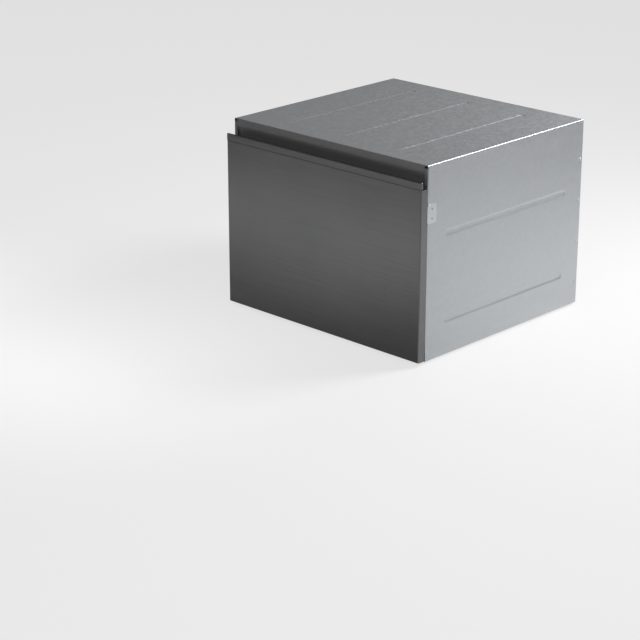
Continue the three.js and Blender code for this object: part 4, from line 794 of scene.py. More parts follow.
def spigotPlaces(node):
    lo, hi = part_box(node)
    pocketLow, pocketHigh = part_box("service_pocket")
    inside = pocketLow.y - gap
    outside = pocketLow.y + spigots["wall"] + gap
    return inside, outside, hi.y


def backOfSpigot(radius, bore, shoulder, inside, outside):
    back = inside - spigots["back"]
    edge = 0.5 * mm
    return [(bore, back), (radius + shoulder - edge, back), (radius + shoulder, back + edge),
            (radius + shoulder, inside), (radius, inside), (radius, outside), (radius + shoulder, outside),
            (radius + shoulder, outside + spigots["shoulder"] - edge),
            (radius + shoulder - edge, outside + spigots["shoulder"])]


def makeInletValve():
    inside, outside, end = spigotPlaces("inlet_valve")
    r, bore = inlet["radius"], inlet["bore"]
    x, z = -0.085, spigots["height"]
    profile = backOfSpigot(r, bore, inlet["shoulder"], inside, outside)
    start = outside + spigots["shoulder"] + 1.2 * mm
    profile.append((r - inlet["depth"], start - 0.4 * mm))
    pitch = (end - 1.6 * mm - start) / inlet["threads"]
    for k in range(inlet["threads"]):
        y = start + k * pitch
        profile += [(r - inlet["depth"], y), (r, y + pitch * 0.42), (r, y + pitch * 0.58), (r - inlet["depth"], y + pitch)]
    profile += [(r - inlet["depth"] - 0.4 * mm, end), (bore + 0.6 * mm, end), (bore, end - 0.6 * mm)]
    body = spun("inletValve", profile, (x, 0, z), "Y", 64, closed=True)
    axisY = inside - inlet["coil"]
    near = x + r
    coil = spun("coil", capped(inlet["coil"], 0, inlet["coilLength"], 0.8 * mm), (near, axisY, z), "X", 40)
    collar = spun("collar", capped(inlet["coil"] + 0.8 * mm, 6 * mm, 28 * mm, 0.5 * mm), (near, axisY, z), "X", 40)
    bridge = box("bridge", (near - 1.8 * mm, axisY - 3.5 * mm, z - 7 * mm), (near + 14 * mm, axisY + 7 * mm, z + 7 * mm),
                 0.8 * mm)
    dress(joinAll("inletValve", [body, coil, collar, bridge]), "inlet_valve", 35)
    pins = [box("pin", (near + 15 * mm + k * 8 * mm, axisY - 0.4 * mm, z + 8 * mm),
                (near + 21 * mm + k * 8 * mm, axisY + 0.4 * mm, z + 15 * mm), 0.15 * mm) for k in range(2)]
    dress(joinAll("valvePins", pins), "inlet_valve", 35, stands=False, slot="bright_steel")


def makeDrainSpigot():
    inside, outside, end = spigotPlaces("drain_spigot")
    r, bore = drain["radius"], drain["bore"]
    profile = backOfSpigot(r, bore, spigots["shoulder"], inside, outside)
    start = outside + spigots["shoulder"] + 1.5 * mm
    pitch = (end - start) / drain["barbs"]
    for k in range(drain["barbs"]):
        y = start + k * pitch
        profile += [(r - 1.1 * mm, y), (r, y + 0.5 * mm), (r, y + 1.1 * mm), (r - 1.1 * mm, y + pitch * 0.96)]
    profile += [(r - 1.3 * mm, end), (bore, end)]
    dress(spun("drainSpigot", profile, (0, 0, spigots["height"]), "Y", 56, closed=True), "drain_spigot", 35)


def makeMainsGland():
    inside, outside, end = spigotPlaces("mains_gland")
    r, bore = gland["radius"], gland["bore"]
    x, z = 0.085, spigots["height"]
    profile = backOfSpigot(r, bore, 1 * mm, inside, outside)[:-3]
    profile += [(r + 0.6 * mm, outside), (r + 0.6 * mm, outside + 4 * mm), (r - 1 * mm, outside + 4.6 * mm)]
    profile += [(r - 1 * mm, end - gland["dome"] - 2 * mm)]
    profile += arc(r - 1 * mm - gland["dome"], end - gland["dome"], gland["dome"], 0, 90, 8)
    profile += [(bore + 0.5 * mm, end), (bore, end - 0.5 * mm)]
    body = spun("mainsGland", profile, (x, 0, z), "Y", 56, closed=True)
    outline = [(x + math.cos(k * math.pi / 3) * gland["nut"], z + math.sin(k * math.pi / 3) * gland["nut"])
               for k in range(6)]
    nut = pulled("nut", outline, "Y", outside + 0.1 * mm, outside + 3 * mm)
    roundEdges(nut, 0.5 * mm, 2)
    cut(nut, spun("bore", capped(r, 0, 20 * mm, 0), (x, outside - 8 * mm, z), "Y", 40))
    dress(joinAll("mainsGland", [body, nut]), "mains_gland", 35)


def makeModule():
    lo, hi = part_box("power_module")
    body = copyOf("power_module", "powerModule", 0.5 * mm)
    plug = box("socket", (lo.x + 12 * mm, lo.y, lo.z + 12 * mm), (lo.x + 40 * mm, lo.y + 6 * mm, lo.z + 26 * mm),
               0.6 * mm)
    dress(joinAll("powerModule", [body, plug]), "power_module", 35)
    profile = capped(2.4 * mm, 0, 1.2 * mm, 0.5 * mm)
    heads = [spun("head", profile, (x, lo.y + 3.4 * mm, hi.z - 0.2 * mm), "Z", 18)
             for x in (lo.x + 6 * mm, hi.x - 6 * mm)]
    dress(joinAll("moduleScrews", heads), "power_module", 35, stands=False, slot="zinc_steel")


def makeBrackets():
    for word in ("left", "right"):
        dress(copyOf(f"mount_bracket_{word}", f"mountBracket{word.capitalize()}", 0.25 * mm), f"mount_bracket_{word}")


def makePocket():
    dress(copyOf("service_pocket", "servicePocket", 0.5 * mm, 3), "service_pocket", 40)


# runners

runner = dict(sheet=1.2 * mm, height=45 * mm, depth=13.6 * mm, lip=3.4 * mm, play=0.3 * mm, nest=1.8 * mm, bend=1.4 * mm)


# a member's outline: each corner is (distance from the chassis wall, height from the slide's middle)
def runnerMember(member, word, corners):
    node = f"runner_{member}_{word}"
    lo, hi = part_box(node)
    outerLow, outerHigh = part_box(f"runner_outer_{word}")
    side = -1 if word == "left" else 1
    wall = outerLow.x if side < 0 else outerHigh.x
    middle = (outerLow.z + outerHigh.z) / 2
    line = [(wall - side * inward, middle + height) for inward, height in corners]
    piece = foldedStrip("runner" + member.title() + word.title(), line, runner["bend"], runner["sheet"], "Y", lo.y, hi.y)
    dress(piece, node, 35)


def makeRunners():
    sheet, lip, nest = runner["sheet"], runner["lip"], runner["nest"]
    step = sheet + runner["play"]
    half = sheet / 2
    top = runner["height"] / 2 - half
    mouth = runner["depth"] - half - gap - lip / 2
    for word in ("left", "right"):
        runnerMember("outer", word, [(mouth, top - lip), (mouth, top), (half, top), (half, -top), (mouth, -top),
                                     (mouth, lip - top)])
        high, web, edge = top - step, half + step, mouth - nest
        runnerMember("middle", word, [(edge, high - lip), (edge, high), (web, high), (web, -high), (edge, -high),
                                      (edge, lip - high)])
        high, web, edge = top - 2 * step, half + 2 * step, mouth - 2 * nest
        crown, neck = runner["depth"] - half, high - lip - 1.5 * mm
        runnerMember("inner", word, [(edge, high), (web, high), (web, neck), (crown, neck), (crown, -neck),
                                     (web, -neck), (web, -high), (edge, -high)])


sideRail = dict(sheet=1.2 * mm, bend=2.2 * mm, flange=18.9 * mm, slots=3, slotLength=28 * mm, slotHeight=14 * mm, tab=42 * mm, hole=2.6 * mm)


def makeSideRails():
    for word in ("left", "right"):
        node = f"side_rail_{word}"
        lo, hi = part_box(node)
        side = -1 if word == "left" else 1
        half = sideRail["sheet"] / 2
        web = (hi.x if side > 0 else -lo.x) - half
        inward = web - sideRail["flange"]
        corners = [(side * inward, lo.z + half), (side * web, lo.z + half), (side * web, hi.z - half),
                   (side * inward, hi.z - half)]
        piece = foldedStrip("rail", corners, sideRail["bend"], sideRail["sheet"], "Y", lo.y, hi.y)
        middle, length = (lo.z + hi.z) / 2, hi.y - lo.y
        pitch = length / (sideRail["slots"] + 0.4)
        for k in range(sideRail["slots"]):
            y = (lo.y + hi.y) / 2 + (k - 1) * pitch
            slot = roundedRectangle(y - sideRail["slotLength"] / 2, y + sideRail["slotLength"] / 2,
                                    middle - sideRail["slotHeight"] / 2, middle + sideRail["slotHeight"] / 2, 6.9 * mm)
            low, high = sorted((side * (web - 3 * mm), side * (web + 3 * mm)))
            cut(piece, pulled("slot", slot, "X", low, high))
        low, high = sorted((side * (web - sideRail["tab"]), side * web))
        tab = box("tab", (low, lo.y, lo.z + half), (high, lo.y + sideRail["sheet"] * 1.5, hi.z - half), 0.3 * mm)
        whole = joinAll("sideRail" + word.title(), [piece, tab])
        dress(whole, node, 35)
        heads = []
        for z in (lo.z + 12 * mm, hi.z - 12 * mm):
            centre = (side * (web - 30 * mm), lo.y + sideRail["sheet"] * 1.5, z)
            heads.append(spun("head", capped(4.2 * mm, 0, 2.4 * mm, 0.6 * mm), centre, "Y", 6))
            heads.append(spun("washer", capped(6 * mm, 0, 0.8 * mm, 0.2 * mm), centre, "Y", 28))
        dress(joinAll("railScrews" + word.title(), heads), node, 30, stands=False, slot="zinc_steel")


# the lid and what drives it

lidShape = dict(corner=52 * mm, floor=3 * mm, columns=4, rows=3, rib=3 * mm, border=16 * mm)


def makeLid():
    lo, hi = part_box("lid")
    body = pulled("lidPanel", roundedRectangle(lo.x, hi.x, lo.y, hi.y, lidShape["corner"], 10), "Z", lo.z, hi.z)
    roundEdges(body, 1 * mm, 2, 60)
    border, rib = lidShape["border"], lidShape["rib"]
    pitchX = (hi.x - lo.x - 2 * border + rib) / lidShape["columns"]
    pitchY = (hi.y - lo.y - 2 * border + rib) / lidShape["rows"]
    cutters = []
    for i in range(lidShape["columns"]):
        for k in range(lidShape["rows"]):
            x, y = lo.x + border + i * pitchX, lo.y + border + k * pitchY
            outline = roundedRectangle(x, x + pitchX - rib, y, y + pitchY - rib, 4 * mm, 3)
            cutters.append(pulled("pocket", outline, "Z", lo.z + lidShape["floor"], hi.z + 2 * mm))
    cut(body, joinAll("pockets", cutters))
    dress(body, "lid", 35)


seal = dict(width=12 * mm, corner=52 * mm)


# a hollow bulb with a flat foot, carried round the lid's edge
def makeSeal():
    lo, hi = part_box("lid_seal")
    width, height = seal["width"], hi.z - lo.z
    section = [(0, height), (0.4 * mm, height - 1.4 * mm), (1.2 * mm, 1 * mm), (2.6 * mm, 0.2 * mm), (4 * mm, 0),
               (5.4 * mm, 0.2 * mm), (6.8 * mm, 1 * mm), (7.6 * mm, 2.2 * mm), (9 * mm, 2.6 * mm), (width, 2.4 * mm),
               (width, height)]
    path = []
    for inset, z in section:
        ring = roundedRectangle(lo.x + inset, hi.x - inset, lo.y + inset, hi.y - inset, seal["corner"] - inset, 10)
        path.append([(x, y, lo.z + z) for x, y in ring])
    dress(ringLoft("lidSeal", path, closed=True), "lid_seal", 40)


def makeLidDrive():
    for word in ("left", "right"):
        side = -1 if word == "left" else 1
        dress(copyOf(f"lid_yoke_{word}", "lidYoke" + word.title(), 0.5 * mm, 3), f"lid_yoke_{word}", 40)
        lo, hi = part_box(f"lid_actuator_{word}")
        body = copyOf(f"lid_actuator_{word}", "actuator", 0.4 * mm)
        x, z = side * (0.295 - 10 * mm), (lo.z + hi.z) / 2
        rings = [spun("ring", capped(10 * mm, 0, 2 * mm, 0.4 * mm), (x, hi.y - back, z), "Y", 40)
                 for back in (3 * mm, 9 * mm, 36 * mm)]
        dress(joinAll("lidActuator" + word.title(), [body, *rings]), f"lid_actuator_{word}", 35)


# drawer front

def makeCore():
    dress(copyOf("front_core", "frontCore", 0.5 * mm), "front_core", 35)


def makeControls():
    dress(copyOf("control_strip", "controlStrip", 0.35 * mm, 2), "control_strip", 35)
    for name in ("power", "programme", "option", "start"):
        node = f"button_{name}"
        lo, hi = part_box(node)
        outline = roundedRectangle(lo.x, hi.x, lo.y, hi.y, 2.6 * mm, 6)
        key = pulled("button" + name.title(), outline, "Z", lo.z, hi.z)
        editFaces(key, lambda centre, normal: normal.z > 0.9)
        bpy.ops.mesh.inset(thickness=0.5 * mm)
        bpy.ops.mesh.inset(thickness=0.7 * mm)
        bpy.ops.transform.translate(value=(0, 0, -0.3 * mm))
        leaveEdit()
        roundEdges(key, 0.25 * mm, 2, 50)
        dress(key, node, 35)
    lo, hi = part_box("display_window")
    glass = pulled("displayWindow", roundedRectangle(lo.x, hi.x, lo.y, hi.y, 1 * mm, 5), "Z", lo.z, hi.z)
    roundEdges(glass, 0.25 * mm, 3, 50)
    dress(glass, "display_window", 35)


# tub

tubShape = dict(lift=88 * mm, wall=3 * mm, draft=14 * mm, corner=52 * mm, floorCorner=14 * mm, rim=8 * mm, rimThickness=7 * mm,
                neck=48.3 * mm, well=112 * mm, wellRadius=28.3 * mm, wellDepth=25 * mm, drain=6 * mm,
                ledgeSetback=70 * mm, padX=0.195, padTop=0.1267)


def makeTub():
    lo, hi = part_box("tub")
    wall, corner, soft = tubShape["wall"], tubShape["corner"], tubShape["floorCorner"]
    middle = (lo.y + hi.y) / 2
    bottom = tubShape["lift"]
    rimX, rimY = hi.x, (hi.y - lo.y) / 2
    halfX, halfY = rimX - tubShape["rim"], rimY - tubShape["rim"] / 2
    height = hi.z - bottom
    floor = bottom + wall
    steps = 12

    def ring(z, inset=0.0, extra=0.0, grow=0.0):
        lean = tubShape["draft"] * (1 - (z - bottom) / height)
        x, y = halfX - lean - inset - extra, halfY - lean - inset - extra
        radius = max(corner - inset - extra * 0.7, 4 * mm)
        return [(px, middle + py, z) for px, py in roundedRectangle(-x, x, -y, y, radius, steps)]

    def rim(z, inset=0.0):
        x, y = rimX - inset, rimY - inset
        radius = corner + tubShape["rim"] - inset
        return [(px, middle + py, z) for px, py in roundedRectangle(-x, x, -y, y, radius, steps)]

    def neck(z):
        points = []
        for px, py, _ in ring(floor, wall, soft):
            angle = math.atan2(py - middle, px)
            points.append((math.cos(angle) * tubShape["neck"], middle + math.sin(angle) * tubShape["neck"], z))
        return points

    under = hi.z - tubShape["rimThickness"]
    rings = [neck(bottom)]
    for k in range(7):
        turn = k / 6 * math.pi / 2
        rings.append(ring(bottom + soft * (1 - math.cos(turn)), 0, soft * (1 - math.sin(turn))))
    rings += [ring(under - 1 * mm), rim(under, 1.5 * mm), rim(under + 1 * mm), rim(hi.z - 2 * mm), rim(hi.z - 0.6 * mm, 0.5 * mm),
              rim(hi.z, 1.8 * mm), ring(hi.z, wall - 1.5 * mm), ring(hi.z - 1.5 * mm, wall)]
    for k in range(7):
        turn = k / 6 * math.pi / 2
        rings.append(ring(floor + soft * (1 - math.sin(turn)), wall, soft * (1 - math.cos(turn))))
    rings.append(neck(floor))
    shell = ringLoft("tubShell", rings, closed=True)
    well = tubShape["well"]
    cut(shell, spun("bore", capped(tubShape["wellRadius"], -10 * mm, 20 * mm, 0), (well, middle, bottom), "Z", 48))
    r, deep = tubShape["wellRadius"], floor - tubShape["wellDepth"]
    profile = [(r, floor + 0.2 * mm), (r, deep + 3 * mm)] + arc(r - 3 * mm, deep + 3 * mm, 3 * mm, 0, -90, 4)
    profile += [(tubShape["drain"], deep), (tubShape["drain"], deep - wall)]
    profile += arc(r - 2 * mm, deep + 2 * mm, 5 * mm, -90, 0, 5) + [(r + wall, bottom + 0.5 * mm), (r + 1 * mm, floor)]
    cup = spun("well", profile, (well, middle, 0), "Z", 48, closed=True)
    parts = [shell, cup]
    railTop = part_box("side_rail_left")[1].z
    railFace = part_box("side_rail_right")[1].x
    for side in (-1, 1):
        low, high = sorted((side * (halfX - 13 * mm), side * (railFace - gap)))
        parts.append(box("ledge", (low, middle - halfY + tubShape["ledgeSetback"], railTop + gap),
                         (high, middle + halfY - tubShape["ledgeSetback"], railTop + gap + 5 * mm), 0.6 * mm))
        for end in (-1, 1):
            x, y = side * tubShape["padX"], middle + end * 0.155
            parts.append(box("pad", (x - 9 * mm, y - 7 * mm, floor - 1 * mm), (x + 9 * mm, y + 7 * mm, tubShape["padTop"]),
                             1.5 * mm, 3))
    dress(joinAll("tubShell", parts), "tub", 35)


# wash system

motor = dict(radius=54 * mm, flange=70 * mm, neck=48 * mm, hub=20 * mm, spindle=8 * mm, ribs=12)


def makeMotor():
    lo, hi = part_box("wash_motor")
    middle = (lo.y + hi.y) / 2
    seat, neckTop = 0.0877, 0.0915
    r, edge = motor["radius"], 4 * mm
    profile = [(0, lo.z)] + arc(r - edge, lo.z + edge, edge, -90, 0, 5)
    profile += [(r, lo.z + 12 * mm), (r - 2 * mm, lo.z + 13 * mm), (r - 2 * mm, lo.z + 19 * mm), (r, lo.z + 20 * mm)]
    profile += [(r, seat - 14 * mm), (motor["flange"], seat - 6 * mm), (motor["flange"], seat), (motor["neck"], seat),
                (motor["neck"], neckTop), (motor["hub"], 0.0966), (motor["hub"], 0.1023), (motor["spindle"], 0.1023),
                (motor["spindle"], hi.z - 0.6 * mm), (motor["spindle"] - 0.6 * mm, hi.z), (0, hi.z)]
    body = spun("washMotor", profile, (0, middle, 0), "Z", 72)
    ribs = []
    for k in range(motor["ribs"]):
        rib = box("rib", (r - 1.5 * mm, -0.9 * mm, seat - 15 * mm), (motor["flange"] - 5 * mm, 0.9 * mm, seat - 7 * mm))
        rib.location.y, rib.rotation_euler.z = middle, math.tau * k / motor["ribs"]
        pick(rib)
        bpy.ops.object.transform_apply(location=True, rotation=True, scale=True)
        ribs.append(rib)
    dress(joinAll("washMotor", [body, *ribs]), "wash_motor", 35)


heater = dict(inner=50.3 * mm, bead=1 * mm)


def makeHeater():
    lo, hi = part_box("heater_plate")
    middle, outer, inner = (lo.y + hi.y) / 2, hi.x, heater["inner"]
    profile = [(inner, lo.z), (outer, lo.z)] + arc(outer - 1 * mm, hi.z - 1 * mm, 1 * mm, 0, 90, 4)
    for radius in (inner + 15 * mm, inner + 7 * mm):
        profile += [(radius + 1.6 * mm, hi.z), (radius + 1 * mm, hi.z - 0.5 * mm), (radius - 1 * mm, hi.z - 0.5 * mm),
                    (radius - 1.6 * mm, hi.z)]
    profile.append((inner, hi.z))
    dress(spun("heaterPlate", profile, (0, middle, 0), "Z", 72, closed=True), "heater_plate", 35)


filters = dict(inner=44 * mm, hole=27.3 * mm, well=112 * mm, spokes=144, bands=((0.50, 0.60), (0.64, 0.74), (0.78, 0.88)),
               keep=0.040, floorless=0.0)


# a pressed disc with three rings of fine slots
def makeFilterPlate():
    lo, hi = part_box("filter_plate")
    middle, outer, inner = (lo.y + hi.y) / 2, hi.x, filters["inner"]
    radii = [inner, inner + 4 * mm]
    for start, end in filters["bands"]:
        radii += [outer * start, outer * end]
    radii += [outer - 3 * mm, outer]
    spokes = filters["spokes"]

    def place(i, k):
        angle = math.tau * i / spokes
        return math.cos(angle) * radii[k], middle + math.sin(angle) * radii[k], hi.z

    disc = gridSheet("filterPlate", spokes, len(radii) - 1, place)

    def slot(centre, normal):
        radius = math.hypot(centre.x, centre.y - middle)
        turn = math.atan2(centre.y - middle, centre.x) / math.tau * spokes
        inBand = any(outer * start < radius < outer * end for start, end in filters["bands"])
        nearWell = math.hypot(centre.x - filters["well"], centre.y - middle) < filters["keep"]
        return inBand and not nearWell and int(turn // 1) % 2 == 0

    editFaces(disc, slot)
    bpy.ops.mesh.delete(type="FACE")
    leaveEdit()
    mendNormals(disc)
    modify(disc, "SOLIDIFY", thickness=hi.z - lo.z, offset=-1 if disc.data.polygons[0].normal.z > 0 else 1)
    cut(disc, spun("bore", capped(filters["hole"], -5 * mm, 10 * mm, 0), (filters["well"], middle, lo.z), "Z", 48))
    dress(disc, "filter_plate", 35)


basket = dict(radius=26.5 * mm, flange=31 * mm, wall=1.6 * mm, slots=40, rows=4)


def makeFilterBasket():
    lo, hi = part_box("filter_basket")
    x, middle = (lo.x + hi.x) / 2, (lo.y + hi.y) / 2
    top = 0.0969
    r, wall = basket["radius"], basket["wall"]
    heights = [lo.z + 2 * mm]
    for k in range(basket["rows"]):
        start = lo.z + 4 * mm + k * 5 * mm
        heights += [start, start + 3.6 * mm]
    heights.append(top)
    count = basket["slots"] * 2

    def place(i, k):
        angle = math.tau * i / count
        return x + math.cos(angle) * r, middle + math.sin(angle) * r, heights[k]

    sieve = gridSheet("sieve", count, len(heights) - 1, place)

    def slot(centre, normal):
        turn = math.atan2(centre.y - middle, centre.x - x) / math.tau * count
        row = sum(centre.z > height for height in heights)
        return int(turn // 1) % 2 == 0 and row % 2 == 0

    editFaces(sieve, slot)
    bpy.ops.mesh.delete(type="FACE")
    leaveEdit()
    mendNormals(sieve)
    modify(sieve, "SOLIDIFY", thickness=wall, offset=-1)
    floor = spun("floor", [(0, lo.z), (r - 1.5 * mm, lo.z), (r, lo.z + 1.5 * mm), (r, lo.z + 2.4 * mm), (0, lo.z + 2.4 * mm)],
                 (x, middle, 0), "Z", 48)
    flange = spun("flange", [(r - wall, top - 1 * mm), (r, top - 1 * mm), (r, top), (basket["flange"], top),
                             (basket["flange"], top + 0.9 * mm), (basket["flange"] - 0.6 * mm, top + 1.5 * mm),
                             (r - wall, top + 1.5 * mm)], (x, middle, 0), "Z", 56, closed=True)
    reach = r - 1 * mm
    handle = pulled("handle", [(x - reach, top - 5 * mm), (x + reach, top - 5 * mm), (x + reach, top + 1 * mm),
                               (x + reach - 6 * mm, hi.z), (x - reach + 6 * mm, hi.z), (x - reach, top + 1 * mm)],
                    "Y", middle - 1.5 * mm, middle + 1.5 * mm)
    roundEdges(handle, 0.7 * mm, 3)
    dress(joinAll("filterBasket", [sieve, floor, flange, handle]), "filter_basket", 35)


arm = dict(radius=200 * mm, root=30 * mm, tip=17 * mm, sweep=26 * mm, hub=28 * mm, bore=8.3 * mm, jets=6, around=20)


def makeSprayArm():
    lo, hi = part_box("spray_arm")
    middle = (lo.y + hi.y) / 2
    bottom, top = lo.z, hi.z - 1.5 * mm
    parts = []
    around, stations = arm["around"], 26
    reach = arm["radius"] - arm["tip"] / 2

    def centreLine(share):
        return 14 * mm + (reach - 14 * mm) * share, arm["sweep"] * math.sin(share * math.pi)

    for side in (-1, 1):
        rings = []
        for k in range(stations + 7):
            share = min(k / stations, 1)
            x, y = centreLine(share)
            half = (arm["root"] * (1 - share) + arm["tip"] * share) / 2
            shrink = 1.0
            if k > stations:
                turn = (k - stations) / 6 * math.pi / 2
                x += math.sin(turn) * arm["tip"] / 2
                shrink = max(math.cos(turn), 0.02)
            ring = []
            for j in range(around):
                angle = math.tau * j / around
                c, s = math.cos(angle), math.sin(angle)
                across = math.copysign(abs(c) ** 0.55, c) * half * shrink
                up = math.copysign(abs(s) ** 0.6, s) * (top - bottom) / 2 * (0.55 + 0.45 * shrink)
                ring.append((side * x, middle + side * (y + across), (top + bottom) / 2 + up))
            rings.append(ring)
        parts.append(ringLoft("blade", rings, caps=True))
    r, h = arm["hub"], top - bottom
    profile = [(arm["bore"], bottom), (r - 2 * mm, bottom), (r, bottom + 2 * mm), (r, top - 3 * mm),
               (r - 1 * mm, top - 1 * mm), (r - 4 * mm, top), (15 * mm, top), (14 * mm, top - 0.8 * mm),
               (10 * mm, top - 0.8 * mm), (9 * mm, top), (0, top), (0, top - 4 * mm), (arm["bore"], top - 4 * mm)]
    parts.append(spun("hub", profile, (0, middle, 0), "Z", 56))
    for k in range(arm["jets"]):
        side = -1 if k % 2 else 1
        share = (k + 1) / (arm["jets"] + 0.6)
        x = side * arm["radius"] * share
        y = middle + side * arm["sweep"] * math.sin(share * math.pi) * 0.9
        profile = [(0, top - 2 * mm), (4.4 * mm, top - 2 * mm), (4 * mm, hi.z - 0.4 * mm), (3.5 * mm, hi.z),
                   (1.7 * mm, hi.z), (1.3 * mm, hi.z - 1 * mm), (0, hi.z - 1 * mm)]
        parts.append(spun("jet", profile, (x, y, 0), "Z", 24))
    dress(joinAll("sprayArm", parts), "spray_arm", 40)


# dish rack

rack = dict(wire=2 * mm, halfX=0.235, halfY=0.200, flare=10 * mm, bend=22 * mm, corner=46 * mm, floor=0.129, top=0.288,
            crossPitch=62 * mm, longPitch=124 * mm, clip=10 * mm, clipThickness=6 * mm, clipHeight=13 * mm,
            tineRows=(-0.188, -0.110, -0.032), spine=0.1362)


def makeDishRack():
    lo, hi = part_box("dish_rack")
    middle = (lo.y + hi.y) / 2
    x, y, flare, floor, top = rack["halfX"], rack["halfY"], rack["flare"], rack["floor"], rack["top"]
    high = floor + 1.6 * rack["wire"]
    lines, loops = [], []
    for k in range(6):
        at = middle + (k - 2.5) * rack["crossPitch"]
        corners = [(-x - flare, at, top), (-x, at, floor), (x, at, floor), (x + flare, at, top)]
        lines.append(bentLine(corners, rack["bend"], 8))
    for k in range(4):
        at = (k - 1.5) * rack["longPitch"]
        corners = [(at, middle - y - flare, top), (at, middle - y, high), (at, middle + y, high),
                   (at, middle + y + flare, top)]
        lines.append(bentLine(corners, rack["bend"], 8))
    for z, out in ((top, flare), ((floor + top) / 2, flare / 2 + 0.4 * mm)):
        ring = roundedRectangle(-x - out, x + out, middle - y - out, middle + y + out, rack["corner"] * 0.72, 10)
        loops.append(len(lines))
        lines.append([(px, py, z) for px, py in ring])
    frame = wires("dishRack", lines, rack["wire"], 12, loops)
    clips = []
    for at in rack["tineRows"]:
        for end in (-1, 1):
            y0 = middle + end * 2.5 * rack["crossPitch"]
            half, thick = rack["clip"] / 2, rack["clipThickness"] / 2
            clip = box("clip", (at - half, y0 - thick, floor - 1 * mm), (at + half, y0 + thick, floor - 1 * mm + rack["clipHeight"]),
                       1 * mm, 3)
            cut(clip, spun("bore", capped(2 * mm, -10 * mm, 10 * mm, 0), (at, y0, rack["spine"]), "Y", 20))
            clips.append(clip)
    dress(joinAll("dishRack", [frame, *clips]), "dish_rack", 50)


tine = dict(wire=1.7 * mm, length=66 * mm, count=10, spacing=31 * mm, tip=2.3 * mm)


def makeTineRows():
    for number, x in enumerate(rack["tineRows"], 1):
        node = f"tine_row_{number}"
        lo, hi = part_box(node)
        middle, low = (lo.y + hi.y) / 2, rack["spine"]
        r, end, tip = tine["wire"], hi.z, tine["tip"]
        profile = [(0, low), (r, low), (r, end - 12 * mm), (tip, end - 10 * mm), (tip, end - tip)]
        profile += [(math.cos(a) * tip, end - tip + math.sin(a) * tip) for a in (0.3, 0.7, 1.1)] + [(0, end)]
        first = middle - (tine["count"] - 1) / 2 * tine["spacing"]
        one = spun("tine", profile, (x, first, 0), "Z", 16)
        modify(one, "ARRAY", count=tine["count"], use_relative_offset=False, use_constant_offset=True,
               constant_offset_displace=(0, tine["spacing"], 0))
        spine = wires("spine", [[(x, lo.y, low), (x, hi.y, low)]], r, 12)
        dress(joinAll(f"tineRow{number}", [one, spine]), node, 50)


cupRack = dict(thickness=4 * mm, depth=92 * mm, frame=9 * mm, bar=6 * mm, end=8 * mm, slots=6, bars=3, lip=12 * mm,
               wall=1.6 * mm, sleeve=5.5 * mm, bore=2.3 * mm, sleeveLength=28 * mm, corner=8 * mm)


def makeCupRacks():
    for word in ("left", "right"):
        node = f"cup_rack_{word}"
        lo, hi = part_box(node)
        side = -1 if word == "left" else 1
        axis = side * (rack["halfX"] + rack["flare"])
        top = rack["top"]
        near, far = axis - side * 3.8 * mm, axis - side * cupRack["depth"]
        x0, x1 = sorted((near, far))
        half = cupRack["thickness"] / 2
        shelf = pulled("cupRack", roundedRectangle(x0, x1, lo.y, hi.y, cupRack["corner"], 6), "Z", top - half, top + half)
        pitch = (hi.y - lo.y - 2 * cupRack["end"]) / cupRack["slots"]
        across = (x1 - x0 - 2 * cupRack["frame"]) / cupRack["bars"]
        cutters = []
        for k in range(cupRack["slots"]):
            y = lo.y + cupRack["end"] + k * pitch + cupRack["bar"] / 2
            for j in range(cupRack["bars"]):
                start = x0 + cupRack["frame"] + j * across + (1.5 * mm if j else 0)
                end = x0 + cupRack["frame"] + (j + 1) * across - (1.5 * mm if j < cupRack["bars"] - 1 else 0)
                outline = roundedRectangle(start, end, y, y + pitch - cupRack["bar"], 3 * mm, 4)
                cutters.append(pulled("slot", outline, "Z", top - 5 * mm, top + 5 * mm))
        cut(shelf, joinAll("slots", cutters))
        roundEdges(shelf, 0.8 * mm, 2, 50)
        low, high = sorted((far, far + side * cupRack["wall"]))
        lip = box("lip", (low, lo.y + cupRack["end"], top - 1 * mm), (high, hi.y - cupRack["end"], top + cupRack["lip"]),
                  0.7 * mm, 3)
        parts = [shelf, lip]
        middle = (lo.y + hi.y) / 2
        for end in (-1, 1):
            centre = (axis, middle + end * rack["crossPitch"], top)
            reach, r, bore = cupRack["sleeveLength"] / 2, cupRack["sleeve"], cupRack["bore"]
            profile = [(bore, -reach), (r - 0.6 * mm, -reach), (r, 0.6 * mm - reach), (r, reach - 0.6 * mm),
                       (r - 0.6 * mm, reach), (bore, reach)]
            parts.append(spun("sleeve", profile, centre, "Y", 32, closed=True))
        dress(joinAll("cupRack" + word.title(), parts), node, 35)


cutlery = dict(wall=2 * mm, cells=3, slots=6, band=14 * mm, corner=5 * mm, rise=16 * mm, bars=4, crossbars=3, barWidth=1.6 * mm)


